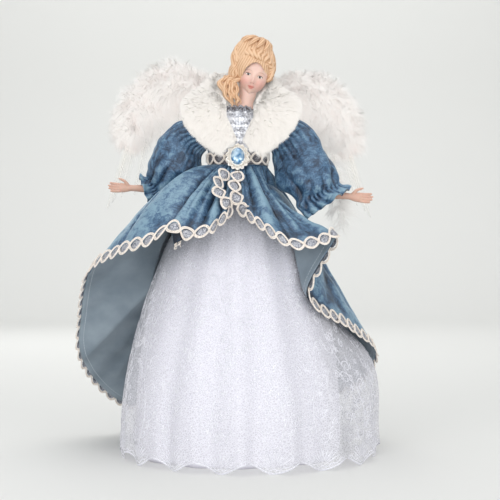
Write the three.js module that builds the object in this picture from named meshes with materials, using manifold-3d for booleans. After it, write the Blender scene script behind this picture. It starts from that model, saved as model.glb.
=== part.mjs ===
// Angel tree topper: a dressed doll on a card cone that goes over the tip of a tree.
// Millimetres, +Z up. The front is -Y, and the doll's own left is +X.

import * as THREE from "three";
import Module from "manifold-3d";
import { mergeVertices } from "three/addons/utils/BufferGeometryUtils.js";

const wasm = await Module();
wasm.setup();
const { degToRad, lerp, smoothstep } = THREE.MathUtils;
const TAU = 2 * Math.PI;

// Clearances
const SEAT_GAP = 0.3;
const CLOTH_GAP = 0.6;
const DRAPE_GAP = 3;

// Card cone
const CONE_HEIGHT = 262;
const CONE_FOOT_RADIUS = 93;
const CONE_TOP_RADIUS = 22;
const CARD_THICKNESS = 1.5;

// Satin skirt, gathered at the top of the cone and puffed away from it
const SATIN_THICKNESS = 1;
const SATIN_PUFF = 30;
const SATIN_FOLDS = 13;
const SATIN_FOLD_DEPTH = 4;

// Lace overskirt, standing off further at the front and at the doll's left. On each side it
// leaves the satin at its own share of the way down, and below the coat's left side it puffs out.
const LACE_THICKNESS = 0.8;
const LACE_STANDOFF = 20;
const LACE_LEFT_EXTRA = 11;
const LACE_FRONT_EXTRA = 5;
const LACE_LEAVES = { front: 0.4, left: 0.38, right: 0.25 };
const LACE_PUFF = { height: 14, degrees: 105, spread: 30, from: 0.5, full: 0.64, gone: 0.9 };
const LACE_FOLDS = 15;
const LACE_FOLD_DEPTH = 5;
const LACE_SCALLOPS = 17;
const LACE_SCALLOP_DEPTH = 9;
const LACE_SCALLOP_TURN = -6.6;

// Torso core and the body line. The heights of everything above the skirts count from the waist.
const PLUG_LENGTH = 14;
const WAIST_ABOVE_CONE = 23;
const WAIST_HEIGHT = CONE_HEIGHT + WAIST_ABOVE_CONE;
const WAIST_RADIUS = 26;
const CHEST_RISE = 21;
const CHEST_HALF_WIDTH = 30;
const CHEST_HALF_DEPTH = 21;
const SHOULDER_RISE = 33;
const SHOULDER_HALF_WIDTH = 30;
const SHOULDER_HALF_DEPTH = 17;
const SHOULDER_WIRE_RISE = 27;
const NECKLINE_RISE = 49;
const NECKLINE_HALF_WIDTH = 12.5;
const NECKLINE_HALF_DEPTH = 11;
const NECK_LENGTH = 7;
const NECK_RADIUS = 7.6;

// Head: the tilt is to the doll's left, the nod is forwards, the turn is to the doll's left
const HEAD_CENTRE = new THREE.Vector3(15, -1, WAIST_HEIGHT + 82);
const HEAD_TILT = 16;
const HEAD_NOD = 6;
const HEAD_TURN = 5;
const FACE_HALF_WIDTH = 14;
const FACE_HALF_DEPTH = 14.5;
const SKULL_RISE = 21;
const CHIN_DROP = 20;

// Moulded hair
const HAIR_THICKNESS = 6;
const CAP_CENTRE = [-3, 5, 8];
const HAIR_LOCKS = 9;
const HAIR_LOCK_RADIUS = 6.4;
const HAIRLINE_FROM = -112;
const HAIRLINE_TO = 100;
const HAIRLINE_RISE = 11;
const BUN_SIZE = [20, 15, 21];
const BUN_CENTRE = [-5, 4, 18];
const SIDE_ROLL = { at: [-19, 1, 0], size: [7, 10, 11] };
const RINGLETS = 5;
const RINGLET_RADIUS = 6;
const RINGLET_TAPER = 0.3;
const RINGLET_FALL = [
  [-20, 2, -5],
  [-25, -4, -13],
  [-21, -9, -21],
  [-14, -12, -28],
];

// Bodice and neckline trim
const SEQUIN_CLOTH = 0.9;
const NECK_TRIM_WIDTH = 4.5;
const NECK_TRIM_THICKNESS = 1.6;

// Velvet coat
const VELVET = 1.2;
const COAT_FRONT_OPENING = 38;
const COAT_PLEATS = 15;
const COAT_PLEAT_DEPTH = 3.2;
const COAT_FLARE = 0.95;
const COAT_ARM_DENT = 1.3;
const COAT_SPRING = 0.45;
// From the left front edge round the back to the right front edge, in degrees and millimetres:
// angle at the waist, angle at the hem, hem radius, hem height.
const COAT_STATIONS = [
  [3, 5, 74, 232],
  [13, 13, 96, 219],
  [24, 21, 113, 206],
  [33, 27, 124, 200],
  [43, 36, 129, 205],
  [53, 45, 125, 208],
  [64, 41, 98, 154],
  [80, 72, 108, 127],
  [96, 95, 132, 104],
  [112, 108, 143, 86],
  [130, 129, 150, 55],
  [155, 154, 142, 36],
  [180, 180, 140, 30],
  [205, 205, 150, 28],
  [225, 225, 163, 32],
  [240, 238, 171, 55],
  [252, 251, 171, 95],
  [262, 261, 158, 135],
  [273, 273, 148, 164],
  [288, 289, 141, 183],
  [303, 306, 132, 196],
  [318, 322, 124, 206],
  [330, 331, 119, 217],
  [338, 338, 116, 210],
  [345, 345, 110, 213],
  [349, 350, 96, 221],
  [356, 355, 74, 235],
];

// Braid, ribbon and brooch
const BRAID_WIDTH = 12;
const BRAID_OVERHANG = 5;
const BRAID_THICKNESS = 1.4;
const BRAID_START = 0.34;
const BRAID_GAP = 1.8;
const RIBBON_WIDTH = 12;
const RIBBON_THICKNESS = 0.9;
const BELT_BRAID_ANGLE = 72;
const GEM_WIDTH = 13;
const GEM_HEIGHT = 18;
const GEM_DEPTH = 5;
const SETTING_RIM = 5.2;
const SETTING_THICKNESS = 3;
const SETTING_PETALS = 14;
const SETTING_PETAL_DEPTH = 0.9;
const GEM_SINK = 2;
const BROOCH_TILT = 21;

// Fur collar: half of its line, from the front tip over the shoulder to the back of the neck,
// as place, half width and half thickness, and the way its fur side faces.
const COLLAR_OFFSET = 3;
const COLLAR_STATIONS = [
  { at: [13, -38.5, 8], size: [9, 4], facing: [0.1, -0.97, 0.2] },
  { at: [16, -37.5, 18], size: [15.5, 6], facing: [0.15, -0.92, 0.35] },
  { at: [32, -25, 41], size: [22.5, 7], facing: [0.35, -0.72, 0.6] },
  { at: [38, 2, 61], size: [21, 8], facing: [0.3, -0.05, 0.95] },
  { at: [26, 24, 71], size: [19, 8], facing: [0.4, 0.7, 0.5] },
  { at: [0, 32, 74], size: [17, 7], facing: [0, 0.94, 0.34] },
];

// Sleeves, from the armhole to the mouth of the ruffle: distance out, y, height, tilt of the
// long axis from the vertical, half length of that axis, half depth.
const SLEEVE_FLUTES = 5;
const SLEEVE_FLUTE_DEPTH = 0.09;
const SLEEVE_SIDES = 20;
const ELASTIC_STATION = 4;
const RIGHT_SLEEVE = [
  [27, 0, 26, 0, 11, 10],
  [51, 1, 19.5, 38, 19, 14],
  [62.4, 0, -2, 53, 22, 22],
  [73.4, 4, -22.5, 48, 19, 19],
  [80, 5, -30, 36, 15, 10],
  [90, 5, -34.5, 20, 18.5, 13],
];
const LEFT_SLEEVE = [
  [27, 0, 26, 0, 11, 10],
  [51, -3, 21, 40, 20, 14],
  [65, -18, -6, 55, 22, 21],
  [74, -31, -25, 60, 22.5, 18.5],
  [76, -37, -37, 60, 22, 11],
  [86, -40, -44, 55, 23, 13],
];
const ELASTIC_WIDTH = 2.2;
const ELASTIC_THICKNESS = 0.8;

// Arms: the wire bends at the shoulder and at the wrist end, inside the sleeve
const WIRE_RADIUS = 1.2;
const SHOULDER_PIVOT = 38;
const ARM_LIFT = 15;
const ARM_LIFT_STEPS = 3;
const PADDING_RADIUS = 6.5;
const RIGHT_WRIST_BEND = new THREE.Vector3(-80, 5, WAIST_HEIGHT - 28);
const LEFT_WRIST_BEND = new THREE.Vector3(81, -37, WAIST_HEIGHT - 34.5);
const RIGHT_HAND_SLOPE = 2;
const LEFT_HAND_SLOPE = -6;
const FOREARM_RADIUS = 4;
const WRIST_RADIUS = 3;
const FOREARM_LENGTH = 25;
const PALM_LENGTH = 11;
const PALM_HALF_HEIGHT = 4.7;
const PALM_HALF_THICKNESS = 2.2;
const FINGER_RADIUS = 1.25;
const FINGER_LENGTHS = [9, 11, 11.5, 10];
const THUMB_LENGTH = 9.5;

// Wings: the wire arch of one side, from the stem on the back plate to the tip
const WING_PLATE_WIDTH = 26;
const WING_PLATE_HEIGHT = 26;
const WING_PLATE_THICKNESS = 3;
const WING_PLATE_RISE = 20;
const WING_STEM_OUT = 7;
const WING_STEM_LENGTH = 14;
const WING_ARCH = [
  [16, 9, 49],
  [42, 17, 77],
  [68, 21, 86],
  [98, 23, 65],
  [112, 25, 27],
];
const LEFT_WING_DROP = 8;
const MARABOU_RADIUS = 19;
const FEATHERS = 6;
const FEATHER_LENGTH = 112;
const FEATHER_WIDTH = 14;
const FEATHER_THICKNESS = 1;
const FEATHER_PITCH = 1.6;

// Working values that follow from the sizes above
const SKIRT_TOP = CONE_HEIGHT - CLOTH_GAP;
const SHOULDER_HEIGHT = WAIST_HEIGHT + SHOULDER_RISE;
const SHOULDER_WIRE_HEIGHT = WAIST_HEIGHT + SHOULDER_WIRE_RISE;
const NECKLINE_HEIGHT = WAIST_HEIGHT + NECKLINE_RISE;
const NECK_HEIGHT = NECKLINE_HEIGHT + NECK_LENGTH;
const WING_PLATE_CENTRE = WAIST_HEIGHT + WING_PLATE_RISE;
const RIBBON_BOTTOM = WAIST_HEIGHT - RIBBON_WIDTH / 2;
const COAT_INSIDE = SEAT_GAP + SEQUIN_CLOTH + CLOTH_GAP;
const COAT_OUTSIDE = COAT_INSIDE + VELVET;
const RIBBON_INSIDE = WAIST_RADIUS + COAT_OUTSIDE + SEAT_GAP;
const BELT_INSIDE = RIBBON_INSIDE + RIBBON_THICKNESS + SEAT_GAP;
const BELT_OUTSIDE = BELT_INSIDE + BRAID_THICKNESS;
const SETTING_BACK = BELT_OUTSIDE + SEAT_GAP + (BRAID_WIDTH / 2) * Math.tan(degToRad(BROOCH_TILT));
const CLOTH_COLUMNS = 52;
const CLOTH_ROWS = 7;
const BODY_SIDES = 20;

// A closed body from points and triangles, turned so that its faces point out
function body(points, triangles) {
  let volume = 0;
  for (const [a, b, c] of triangles) {
    volume += points[a].dot(new THREE.Vector3().crossVectors(points[b], points[c]));
  }
  const faces = volume < 0 ? triangles.map(([a, b, c]) => [a, c, b]) : triangles;
  const geometry = new THREE.BufferGeometry().setFromPoints(points);
  geometry.setIndex(faces.flat());
  return geometry;
}

// The wall between an inner (side 0) and an outer (side 1) sheet of points, closed along its
// edges. A ring joins its last column to its first.
function wall(columns, rows, ring, pointAt) {
  const width = ring ? columns : columns + 1;
  const points = [];
  const triangles = [];
  for (const side of [0, 1]) {
    for (let row = 0; row <= rows; row++) {
      for (let column = 0; column < width; column++) {
        points.push(pointAt(column / columns, row / rows, side));
      }
    }
  }
  const index = (column, row, side) => (side * (rows + 1) + row) * width + (column % width);
  const quad = (a, b, c, d) => triangles.push([a, b, c], [a, c, d]);
  for (let column = 0; column < columns; column++) {
    const next = column + 1;
    for (let row = 0; row < rows; row++) {
      quad(index(column, row, 1), index(column, row + 1, 1), index(next, row + 1, 1), index(next, row, 1));
      quad(index(column, row, 0), index(next, row, 0), index(next, row + 1, 0), index(column, row + 1, 0));
    }
    quad(index(column, 0, 0), index(column, 0, 1), index(next, 0, 1), index(next, 0, 0));
    quad(index(column, rows, 1), index(column, rows, 0), index(next, rows, 0), index(next, rows, 1));
  }
  if (!ring) {
    for (let row = 0; row < rows; row++) {
      quad(index(0, row, 0), index(0, row + 1, 0), index(0, row + 1, 1), index(0, row, 1));
      const end = columns;
      quad(index(end, row, 1), index(end, row + 1, 1), index(end, row + 1, 0), index(end, row, 0));
    }
  }
  return body(points, triangles);
}

// A solid through rings of points, with a flat fan at each end
function loft(rings) {
  const sides = rings[0].length;
  const points = rings.flat();
  const triangles = [];
  for (let ring = 0; ring + 1 < rings.length; ring++) {
    for (let side = 0; side < sides; side++) {
      const a = ring * sides + side;
      const b = ring * sides + ((side + 1) % sides);
      triangles.push([a, b, b + sides], [a, b + sides, a + sides]);
    }
  }
  for (const [start, flip] of [[0, true], [(rings.length - 1) * sides, false]]) {
    const middle = points.length;
    const centre = new THREE.Vector3();
    for (let side = 0; side < sides; side++) {
      centre.addScaledVector(points[start + side], 1 / sides);
    }
    points.push(centre);
    for (let side = 0; side < sides; side++) {
      const a = start + side;
      const b = start + ((side + 1) % sides);
      triangles.push(flip ? [b, a, middle] : [a, b, middle]);
    }
  }
  return body(points, triangles);
}

// A ring of points: an ellipse on two directions about a centre
function ellipse(centre, first, second, firstHalf, secondHalf, sides) {
  return Array.from({ length: sides }, (_, side) => {
    const angle = (TAU * side) / sides;
    return centre
      .clone()
      .addScaledVector(first, firstHalf * Math.cos(angle))
      .addScaledVector(second, secondHalf * Math.sin(angle));
  });
}

// An ellipsoid, for moulded forms
function ellipsoid(centre, radii, sides = 8, bands = 6) {
  const geometry = new THREE.SphereGeometry(1, sides, bands);
  geometry.rotateX(Math.PI / 2);
  geometry.scale(...radii);
  return geometry.translate(...centre);
}

function toSolid(geometry) {
  const bare = geometry.clone();
  bare.deleteAttribute("normal");
  bare.deleteAttribute("uv");
  const merged = mergeVertices(bare);
  return new wasm.Manifold(
    new wasm.Mesh({
      numProp: 3,
      vertProperties: new Float32Array(merged.getAttribute("position").array),
      triVerts: new Uint32Array(merged.index.array),
    }),
  );
}

function toGeometry(solid) {
  const mesh = solid.getMesh();
  const geometry = new THREE.BufferGeometry();
  geometry.setAttribute("position", new THREE.BufferAttribute(mesh.vertProperties, 3));
  geometry.setIndex(new THREE.BufferAttribute(mesh.triVerts, 1));
  return geometry;
}

const join = (geometries) => geometries.map(toSolid).reduce((whole, next) => whole.add(next));
const cut = (geometry, ...tools) =>
  toGeometry(tools.map(toSolid).reduce((rest, tool) => rest.subtract(tool), toSolid(geometry)));

const X = new THREE.Vector3(1, 0, 0);
const Y = new THREE.Vector3(0, 1, 0);
const Z = new THREE.Vector3(0, 0, 1);

// A point at an angle round the upright axis: 0 is the front, and it grows towards the left
function polar(angle, radius, z) {
  return new THREE.Vector3(radius * Math.sin(angle), -radius * Math.cos(angle), z);
}

// A round wire along a curve
function wire(curve, steps) {
  const section = new THREE.Shape().absarc(0, 0, WIRE_RADIUS, 0, TAU);
  const along = { steps, extrudePath: curve, bevelEnabled: false, curveSegments: 3 };
  return new THREE.ExtrudeGeometry(section, along);
}

// A smooth run through rows of numbers, three at a time
function spline(rows) {
  return new THREE.CatmullRomCurve3(rows.map((row) => new THREE.Vector3(...row)), false, "catmullrom", 0.5);
}

// Card cone

function coneRadius(z) {
  return lerp(CONE_FOOT_RADIUS, CONE_TOP_RADIUS, z / CONE_HEIGHT);
}

function treeCone() {
  const profile = [
    [CONE_FOOT_RADIUS - CARD_THICKNESS, 0],
    [CONE_FOOT_RADIUS, 0],
    [CONE_TOP_RADIUS, CONE_HEIGHT],
    [CONE_TOP_RADIUS - CARD_THICKNESS, CONE_HEIGHT],
    [CONE_FOOT_RADIUS - CARD_THICKNESS, 0],
  ];
  const points = profile.map(([radius, z]) => new THREE.Vector2(radius, z));
  return new THREE.LatheGeometry(points, 40).rotateX(Math.PI / 2);
}

// Skirts: inner radius of each cloth at an angle and a height

function downSkirt(z) {
  return THREE.MathUtils.clamp((SKIRT_TOP - z) / SKIRT_TOP, 0, 1);
}

function satinRadius(angle, z) {
  const down = downSkirt(z);
  const bell = Math.sin(Math.PI * Math.pow(down, 0.7)) ** 0.8;
  const fold = 0.5 + 0.5 * Math.cos(SATIN_FOLDS * angle + 1.3 * Math.sin(3 * angle));
  return coneRadius(z) + CLOTH_GAP + SATIN_PUFF * bell + SATIN_FOLD_DEPTH * down * fold;
}

function lacePuff(angle, down) {
  const { height, degrees, spread, from, full, gone } = LACE_PUFF;
  const off = THREE.MathUtils.euclideanModulo(angle - degToRad(degrees) + Math.PI, TAU) - Math.PI;
  const level = smoothstep(down, from, full) - smoothstep(down, full, gone);
  return height * level * Math.exp(-((off / degToRad(spread)) ** 2));
}

function laceRadius(angle, z) {
  const down = downSkirt(z);
  const reach = LACE_STANDOFF + LACE_LEFT_EXTRA * Math.sin(angle) + LACE_FRONT_EXTRA * Math.cos(angle);
  const { front, left, right } = LACE_LEAVES;
  const side = Math.sin(angle);
  const start = front + ((left - right) / 2) * side + ((left + right) / 2 - front) * side ** 2;
  const fold = 0.5 + 0.5 * Math.cos(LACE_FOLDS * angle + 1.7 * Math.sin(2 * angle));
  const away = reach * smoothstep(down, start, 0.85) + LACE_FOLD_DEPTH * down * fold;
  return satinRadius(angle, z) + SATIN_THICKNESS + CLOTH_GAP + 1.5 * down + away + lacePuff(angle, down);
}

function satinSkirt() {
  return wall(CLOTH_COLUMNS, CLOTH_ROWS, true, (u, v, side) => {
    const z = SKIRT_TOP * (1 - v);
    return polar(TAU * u, satinRadius(TAU * u, z) + side * SATIN_THICKNESS, z);
  });
}

function laceOverskirt() {
  return wall(4 * LACE_SCALLOPS, CLOTH_ROWS, true, (u, v, side) => {
    const angle = TAU * u + degToRad(LACE_SCALLOP_TURN);
    const hem = LACE_SCALLOP_DEPTH * Math.sin(Math.PI * LACE_SCALLOPS * u) ** 2;
    const z = lerp(SKIRT_TOP, hem, v);
    return polar(angle, laceRadius(angle, z) + side * LACE_THICKNESS, z);
  });
}

// Body line: heights with half width and half depth, straight in between

const BODY_LINE = [
  [CONE_HEIGHT + SEAT_GAP, WAIST_RADIUS, WAIST_RADIUS],
  [WAIST_HEIGHT + RIBBON_WIDTH / 2, WAIST_RADIUS, WAIST_RADIUS],
  [WAIST_HEIGHT + CHEST_RISE, CHEST_HALF_WIDTH, CHEST_HALF_DEPTH],
  [SHOULDER_HEIGHT, SHOULDER_HALF_WIDTH, SHOULDER_HALF_DEPTH],
  [NECKLINE_HEIGHT, NECKLINE_HALF_WIDTH, NECKLINE_HALF_DEPTH],
  [NECK_HEIGHT, NECK_RADIUS, NECK_RADIUS],
];

function bodySize(z) {
  let above = BODY_LINE.findIndex(([height]) => height >= z);
  above = above < 0 ? BODY_LINE.length - 1 : Math.max(above, 1);
  const [z0, w0, d0] = BODY_LINE[above - 1];
  const [z1, w1, d1] = BODY_LINE[above];
  const share = (z - z0) / (z1 - z0);
  return [lerp(w0, w1, share), lerp(d0, d1, share)];
}

// Heights from one level to another, with every corner of the body line in between
function bodyLevels(bottom, top) {
  const corners = BODY_LINE.map(([height]) => height).filter((height) => height > bottom && height < top);
  return [bottom, ...corners, top];
}

function bodyRing(z, away) {
  const [halfWidth, halfDepth] = bodySize(z);
  return ellipse(new THREE.Vector3(0, 0, z), X, Y, halfWidth + away, halfDepth + away, BODY_SIDES);
}

// The body swollen by a distance, to cut what lies against it
function bodyEnvelope(away) {
  return loft(bodyLevels(CONE_HEIGHT + SEAT_GAP, NECK_HEIGHT).map((z) => bodyRing(z, away)));
}

// A layer of cloth round the body, over part of a turn counted from the front
function bodyLayer(bottom, top, away, thickness, opening) {
  const levels = bodyLevels(bottom, top);
  const ring = opening === 0;
  return wall(BODY_SIDES, levels.length - 1, ring, (u, v, side) => {
    const z = levels[Math.round(v * (levels.length - 1))];
    const [halfWidth, halfDepth] = bodySize(z);
    const angle = ring ? TAU * u : degToRad(lerp(opening, 360 - opening, u));
    const out = away + side * thickness;
    return new THREE.Vector3((halfWidth + out) * Math.sin(angle), -(halfDepth + out) * Math.cos(angle), z);
  });
}

// The straight hole that the shoulder wire runs through
function wireHole() {
  const length = 2 * SHOULDER_PIVOT;
  const hole = new THREE.CylinderGeometry(WIRE_RADIUS + SEAT_GAP, WIRE_RADIUS + SEAT_GAP, length, 12);
  return hole.rotateZ(Math.PI / 2).translate(0, 0, SHOULDER_WIRE_HEIGHT);
}

function torsoCore() {
  const plugRadius = CONE_TOP_RADIUS - CARD_THICKNESS - SEAT_GAP;
  const plugRing = (z) => ellipse(new THREE.Vector3(0, 0, z), X, Y, plugRadius, plugRadius, BODY_SIDES);
  const plug = [plugRing(CONE_HEIGHT - PLUG_LENGTH), plugRing(CONE_HEIGHT + SEAT_GAP)];
  const levels = bodyLevels(CONE_HEIGHT + SEAT_GAP, SHOULDER_HEIGHT);
  return cut(loft([...plug, ...levels.map((z) => bodyRing(z, 0))]), wireHole());
}

function shoulderWire() {
  const end = SHOULDER_PIVOT - WIRE_RADIUS - SEAT_GAP;
  const line = new THREE.LineCurve3(
    new THREE.Vector3(-end, 0, SHOULDER_WIRE_HEIGHT),
    new THREE.Vector3(end, 0, SHOULDER_WIRE_HEIGHT),
  );
  return wire(line, 1);
}

function sequinBodice() {
  return cut(bodyLayer(RIBBON_BOTTOM, NECKLINE_HEIGHT, SEAT_GAP, SEQUIN_CLOTH, 0), wireHole());
}

function necklineTrim() {
  const bottom = NECKLINE_HEIGHT + SEAT_GAP;
  return bodyLayer(bottom, bottom + NECK_TRIM_WIDTH, SEAT_GAP, NECK_TRIM_THICKNESS, 0);
}

// Head casting: face, neck and shoulder plate in one

const headMatrix = new THREE.Matrix4().compose(
  HEAD_CENTRE,
  new THREE.Quaternion().setFromEuler(
    new THREE.Euler(degToRad(HEAD_NOD), degToRad(HEAD_TILT), degToRad(HEAD_TURN), "YXZ"),
  ),
  new THREE.Vector3(1, 1, 1),
);

// A soft bump on the face: how much of it is felt in a direction
function bump(direction, target, spread) {
  return Math.exp(-direction.distanceToSquared(target) / (spread * spread));
}

const FACE_FEATURES = [
  { at: [0, -1, -0.28], spread: 0.16, height: 2.6 },
  { at: [0, -1, -0.02], spread: 0.16, height: 0.6 },
  { at: [0, -1, -0.66], spread: 0.2, height: 1 },
  { at: [0, -0.8, -1.15], spread: 0.3, height: 1.2 },
  { at: [0.42, -0.9, -0.02], spread: 0.22, height: -1.1 },
  { at: [-0.42, -0.9, -0.02], spread: 0.22, height: -1.1 },
].map(({ at, spread, height }) => ({ at: new THREE.Vector3(...at).normalize(), spread, height }));

function headSurface(away) {
  const geometry = new THREE.SphereGeometry(1, 24, 16).rotateX(Math.PI / 2);
  const place = geometry.getAttribute("position");
  const point = new THREE.Vector3();
  for (let index = 0; index < place.count; index++) {
    point.fromBufferAttribute(place, index).normalize();
    let swell = away;
    for (const { at, spread, height } of FACE_FEATURES) {
      swell += height * bump(point, at, spread);
    }
    const low = Math.max(0, -point.z);
    const narrow = 1 - 0.42 * low ** 3;
    point.x *= FACE_HALF_WIDTH * narrow + swell;
    point.y *= (point.y < 0 ? FACE_HALF_DEPTH : FACE_HALF_DEPTH + 2) * (1 - 0.25 * low ** 2) + swell;
    point.z *= (point.z < 0 ? CHIN_DROP : SKULL_RISE) + swell;
    place.setXYZ(index, point.x, point.y, point.z);
  }
  return geometry.applyMatrix4(headMatrix);
}

function neckAndPlate() {
  const levels = bodyLevels(SHOULDER_HEIGHT + SEAT_GAP, NECK_HEIGHT);
  const plate = levels.map((z) => bodyRing(z, 0));
  const top = new THREE.Vector3(0.35 * FACE_HALF_WIDTH, 0.15 * FACE_HALF_DEPTH, -0.5 * CHIN_DROP);
  const centre = top.applyMatrix4(headMatrix).lerp(HEAD_CENTRE, 0.35);
  return loft([...plate, ellipse(centre, X, Y, NECK_RADIUS, NECK_RADIUS, BODY_SIDES)]);
}

function headCasting() {
  return toGeometry(join([headSurface(0), neckAndPlate()]));
}

// Moulded hair: a cap round the face, locks along the hairline, a bun and a fall of ringlets

// All of its lumps, swollen by a distance where they are to cut what they lie on
function hairForm(swell) {
  const grown = (radii) => radii.map((radius) => radius + swell);
  const lump = (centre, radii, ...facets) => ellipsoid(centre, grown(radii), ...facets);
  const cap = [FACE_HALF_WIDTH + HAIR_THICKNESS, FACE_HALF_DEPTH + HAIR_THICKNESS, SKULL_RISE];
  const forms = [
    lump(CAP_CENTRE, cap, 14, 9),
    lump(BUN_CENTRE, BUN_SIZE, 12, 8),
    lump(SIDE_ROLL.at, SIDE_ROLL.size, 10, 7),
  ];
  for (let lock = 0; lock < HAIR_LOCKS; lock++) {
    const angle = degToRad(lerp(HAIRLINE_FROM, HAIRLINE_TO, lock / (HAIR_LOCKS - 1)));
    const out = FACE_HALF_WIDTH + HAIR_LOCK_RADIUS * 0.4;
    const front = -FACE_HALF_DEPTH + HAIR_LOCK_RADIUS * (0.8 + 0.6 * Math.abs(Math.sin(angle)));
    const place = [out * Math.sin(angle) - 1.5, front, HAIR_LOCK_RADIUS + HAIRLINE_RISE * Math.cos(angle)];
    forms.push(lump(place, [HAIR_LOCK_RADIUS, HAIR_LOCK_RADIUS, HAIR_LOCK_RADIUS * 0.9], 7, 6));
  }
  const fall = spline(RINGLET_FALL);
  for (let ringlet = 0; ringlet < RINGLETS; ringlet++) {
    const share = ringlet / (RINGLETS - 1);
    const size = RINGLET_RADIUS * (1 - RINGLET_TAPER * share);
    forms.push(lump(fall.getPoint(share).toArray(), [size, size * 0.85, size], 7, 5));
  }
  return toGeometry(join(forms)).applyMatrix4(headMatrix);
}

// The face stays open: a scoop in front of the cap, wider towards the chin
function faceScoop() {
  const scoop = ellipsoid([0, -FACE_HALF_DEPTH - 4, -9], [FACE_HALF_WIDTH - 1.5, 17, 22], 12, 8);
  return scoop.applyMatrix4(headMatrix);
}

function neckSleeve() {
  const levels = bodyLevels(SHOULDER_HEIGHT + SEAT_GAP, NECK_HEIGHT + CHIN_DROP);
  const around = NECK_TRIM_THICKNESS + 2 * SEAT_GAP;
  return loft(levels.map((z) => bodyRing(Math.min(z, NECK_HEIGHT), around).map((p) => p.setZ(z))));
}

function mouldedHair() {
  return cut(hairForm(0), headSurface(SEAT_GAP), faceScoop(), neckSleeve());
}

// Coat

function coatBodice() {
  const top = NECKLINE_HEIGHT - SEAT_GAP;
  return cut(bodyLayer(RIBBON_BOTTOM, top, COAT_INSIDE, VELVET, COAT_FRONT_OPENING), wireHole());
}

const coatHem = spline(COAT_STATIONS.map(([, angle, radius, z]) => [angle, radius, z]));
const coatWaist = spline(COAT_STATIONS.map(([angle]) => [angle, 0, 0]));

// How much the arms push the skirt of the coat in below the waist, and how much its gathers spring
// out in front of the right arm
function armDent(waistDegrees) {
  const near = (centre, spread) => Math.exp(-(((waistDegrees - centre) / spread) ** 2));
  return COAT_ARM_DENT * (near(56, 22) + near(260, 20)) - COAT_SPRING * near(302, 20);
}

// The inner face of the coat's skirt: u along the hem, v from the waist down
function coatPoint(u, v) {
  const hem = coatHem.getPoint(u);
  const waistDegrees = coatWaist.getPoint(u).x;
  const angle = degToRad(lerp(waistDegrees, hem.x, v));
  const z = lerp(RIBBON_BOTTOM - SEAT_GAP, hem.z, v);
  const flare = Math.pow(v, COAT_FLARE + armDent(waistDegrees));
  const pleat = COAT_PLEAT_DEPTH * Math.sin(Math.PI * v) * Math.cos(TAU * COAT_PLEATS * u);
  const free = lerp(WAIST_RADIUS + COAT_INSIDE, hem.y, flare) + pleat * smoothstep(hem.y, 40, 100);
  const laid = z < SKIRT_TOP ? laceRadius(angle, z) + LACE_THICKNESS + DRAPE_GAP : 0;
  return polar(angle, Math.max(free, laid), z);
}

// The way out of the cloth at a point of it
function coatNormal(u, v) {
  const step = 1e-3;
  const along = coatPoint(Math.min(u + step, 1), v).sub(coatPoint(Math.max(u - step, 0), v));
  const down = coatPoint(u, Math.min(v + step, 1)).sub(coatPoint(u, Math.max(v - step, 0)));
  return along.cross(down).negate().normalize();
}

const COAT_COLUMNS = 78;
const COAT_ROWS = 5;

function coatSkirt() {
  return wall(COAT_COLUMNS, COAT_ROWS, false, (u, v, side) => {
    const at = coatPoint(u, v);
    const way = v === 0 ? polar(Math.atan2(at.x, -at.y), 1, 0) : coatNormal(u, v);
    return at.addScaledVector(way, side * VELVET);
  });
}

// Points down one front edge, along the hem and up the other front edge, each with the next
// point in from the edge
function coatEdge() {
  const inset = 3 / COAT_COLUMNS;
  const above = 1 - 1 / COAT_ROWS;
  const front = Array.from({ length: COAT_ROWS }, (_, row) => lerp(BRAID_START, 1, row / COAT_ROWS));
  const hem = Array.from({ length: COAT_COLUMNS + 1 }, (_, column) => column / COAT_COLUMNS);
  return [
    ...front.map((v) => [0, v, inset, v]),
    ...hem.map((u) => [u, 1, THREE.MathUtils.clamp(u, inset, 1 - inset), above]),
    ...front.reverse().map((v) => [1, v, 1 - inset, v]),
  ];
}

// Braid along the whole edge of the coat's skirt, half on the velvet and half past its edge
function coatBraid() {
  const edge = coatEdge();
  return wall(edge.length - 1, 1, false, (share, v, side) => {
    const [u, down, uIn, downIn] = edge[Math.round(share * (edge.length - 1))];
    const at = coatPoint(u, down);
    const inward = coatPoint(uIn, downIn).sub(at).normalize();
    const across = lerp(-BRAID_OVERHANG, BRAID_WIDTH - BRAID_OVERHANG, v);
    const away = VELVET + BRAID_GAP + side * BRAID_THICKNESS;
    return at.addScaledVector(coatNormal(u, down), away).addScaledVector(inward, across);
  });
}

// Ribbon, braid belt and brooch

function waistRibbon() {
  return wall(36, 1, true, (u, v, side) =>
    polar(TAU * u, RIBBON_INSIDE + side * RIBBON_THICKNESS, RIBBON_BOTTOM + RIBBON_WIDTH * v),
  );
}

function beltBraid() {
  const bottom = WAIST_HEIGHT - BRAID_WIDTH / 2;
  return wall(24, 1, false, (u, v, side) => {
    const angle = degToRad(lerp(-BELT_BRAID_ANGLE, BELT_BRAID_ANGLE, u));
    return polar(angle, BELT_INSIDE + side * BRAID_THICKNESS, bottom + BRAID_WIDTH * v);
  });
}

function gemForm(swell) {
  const ring = (share, depth) => {
    const halfWidth = (GEM_WIDTH / 2) * share + swell;
    const halfHeight = (GEM_HEIGHT / 2) * share + swell;
    return ellipse(new THREE.Vector3(0, depth, 0), X, Z, halfWidth, halfHeight, 16);
  };
  const table = ring(0.55, -GEM_DEPTH - swell);
  return loft([table, ring(0.84, -GEM_DEPTH * 0.75), ring(1, -GEM_SINK), ring(0.8, swell)]);
}

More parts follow.
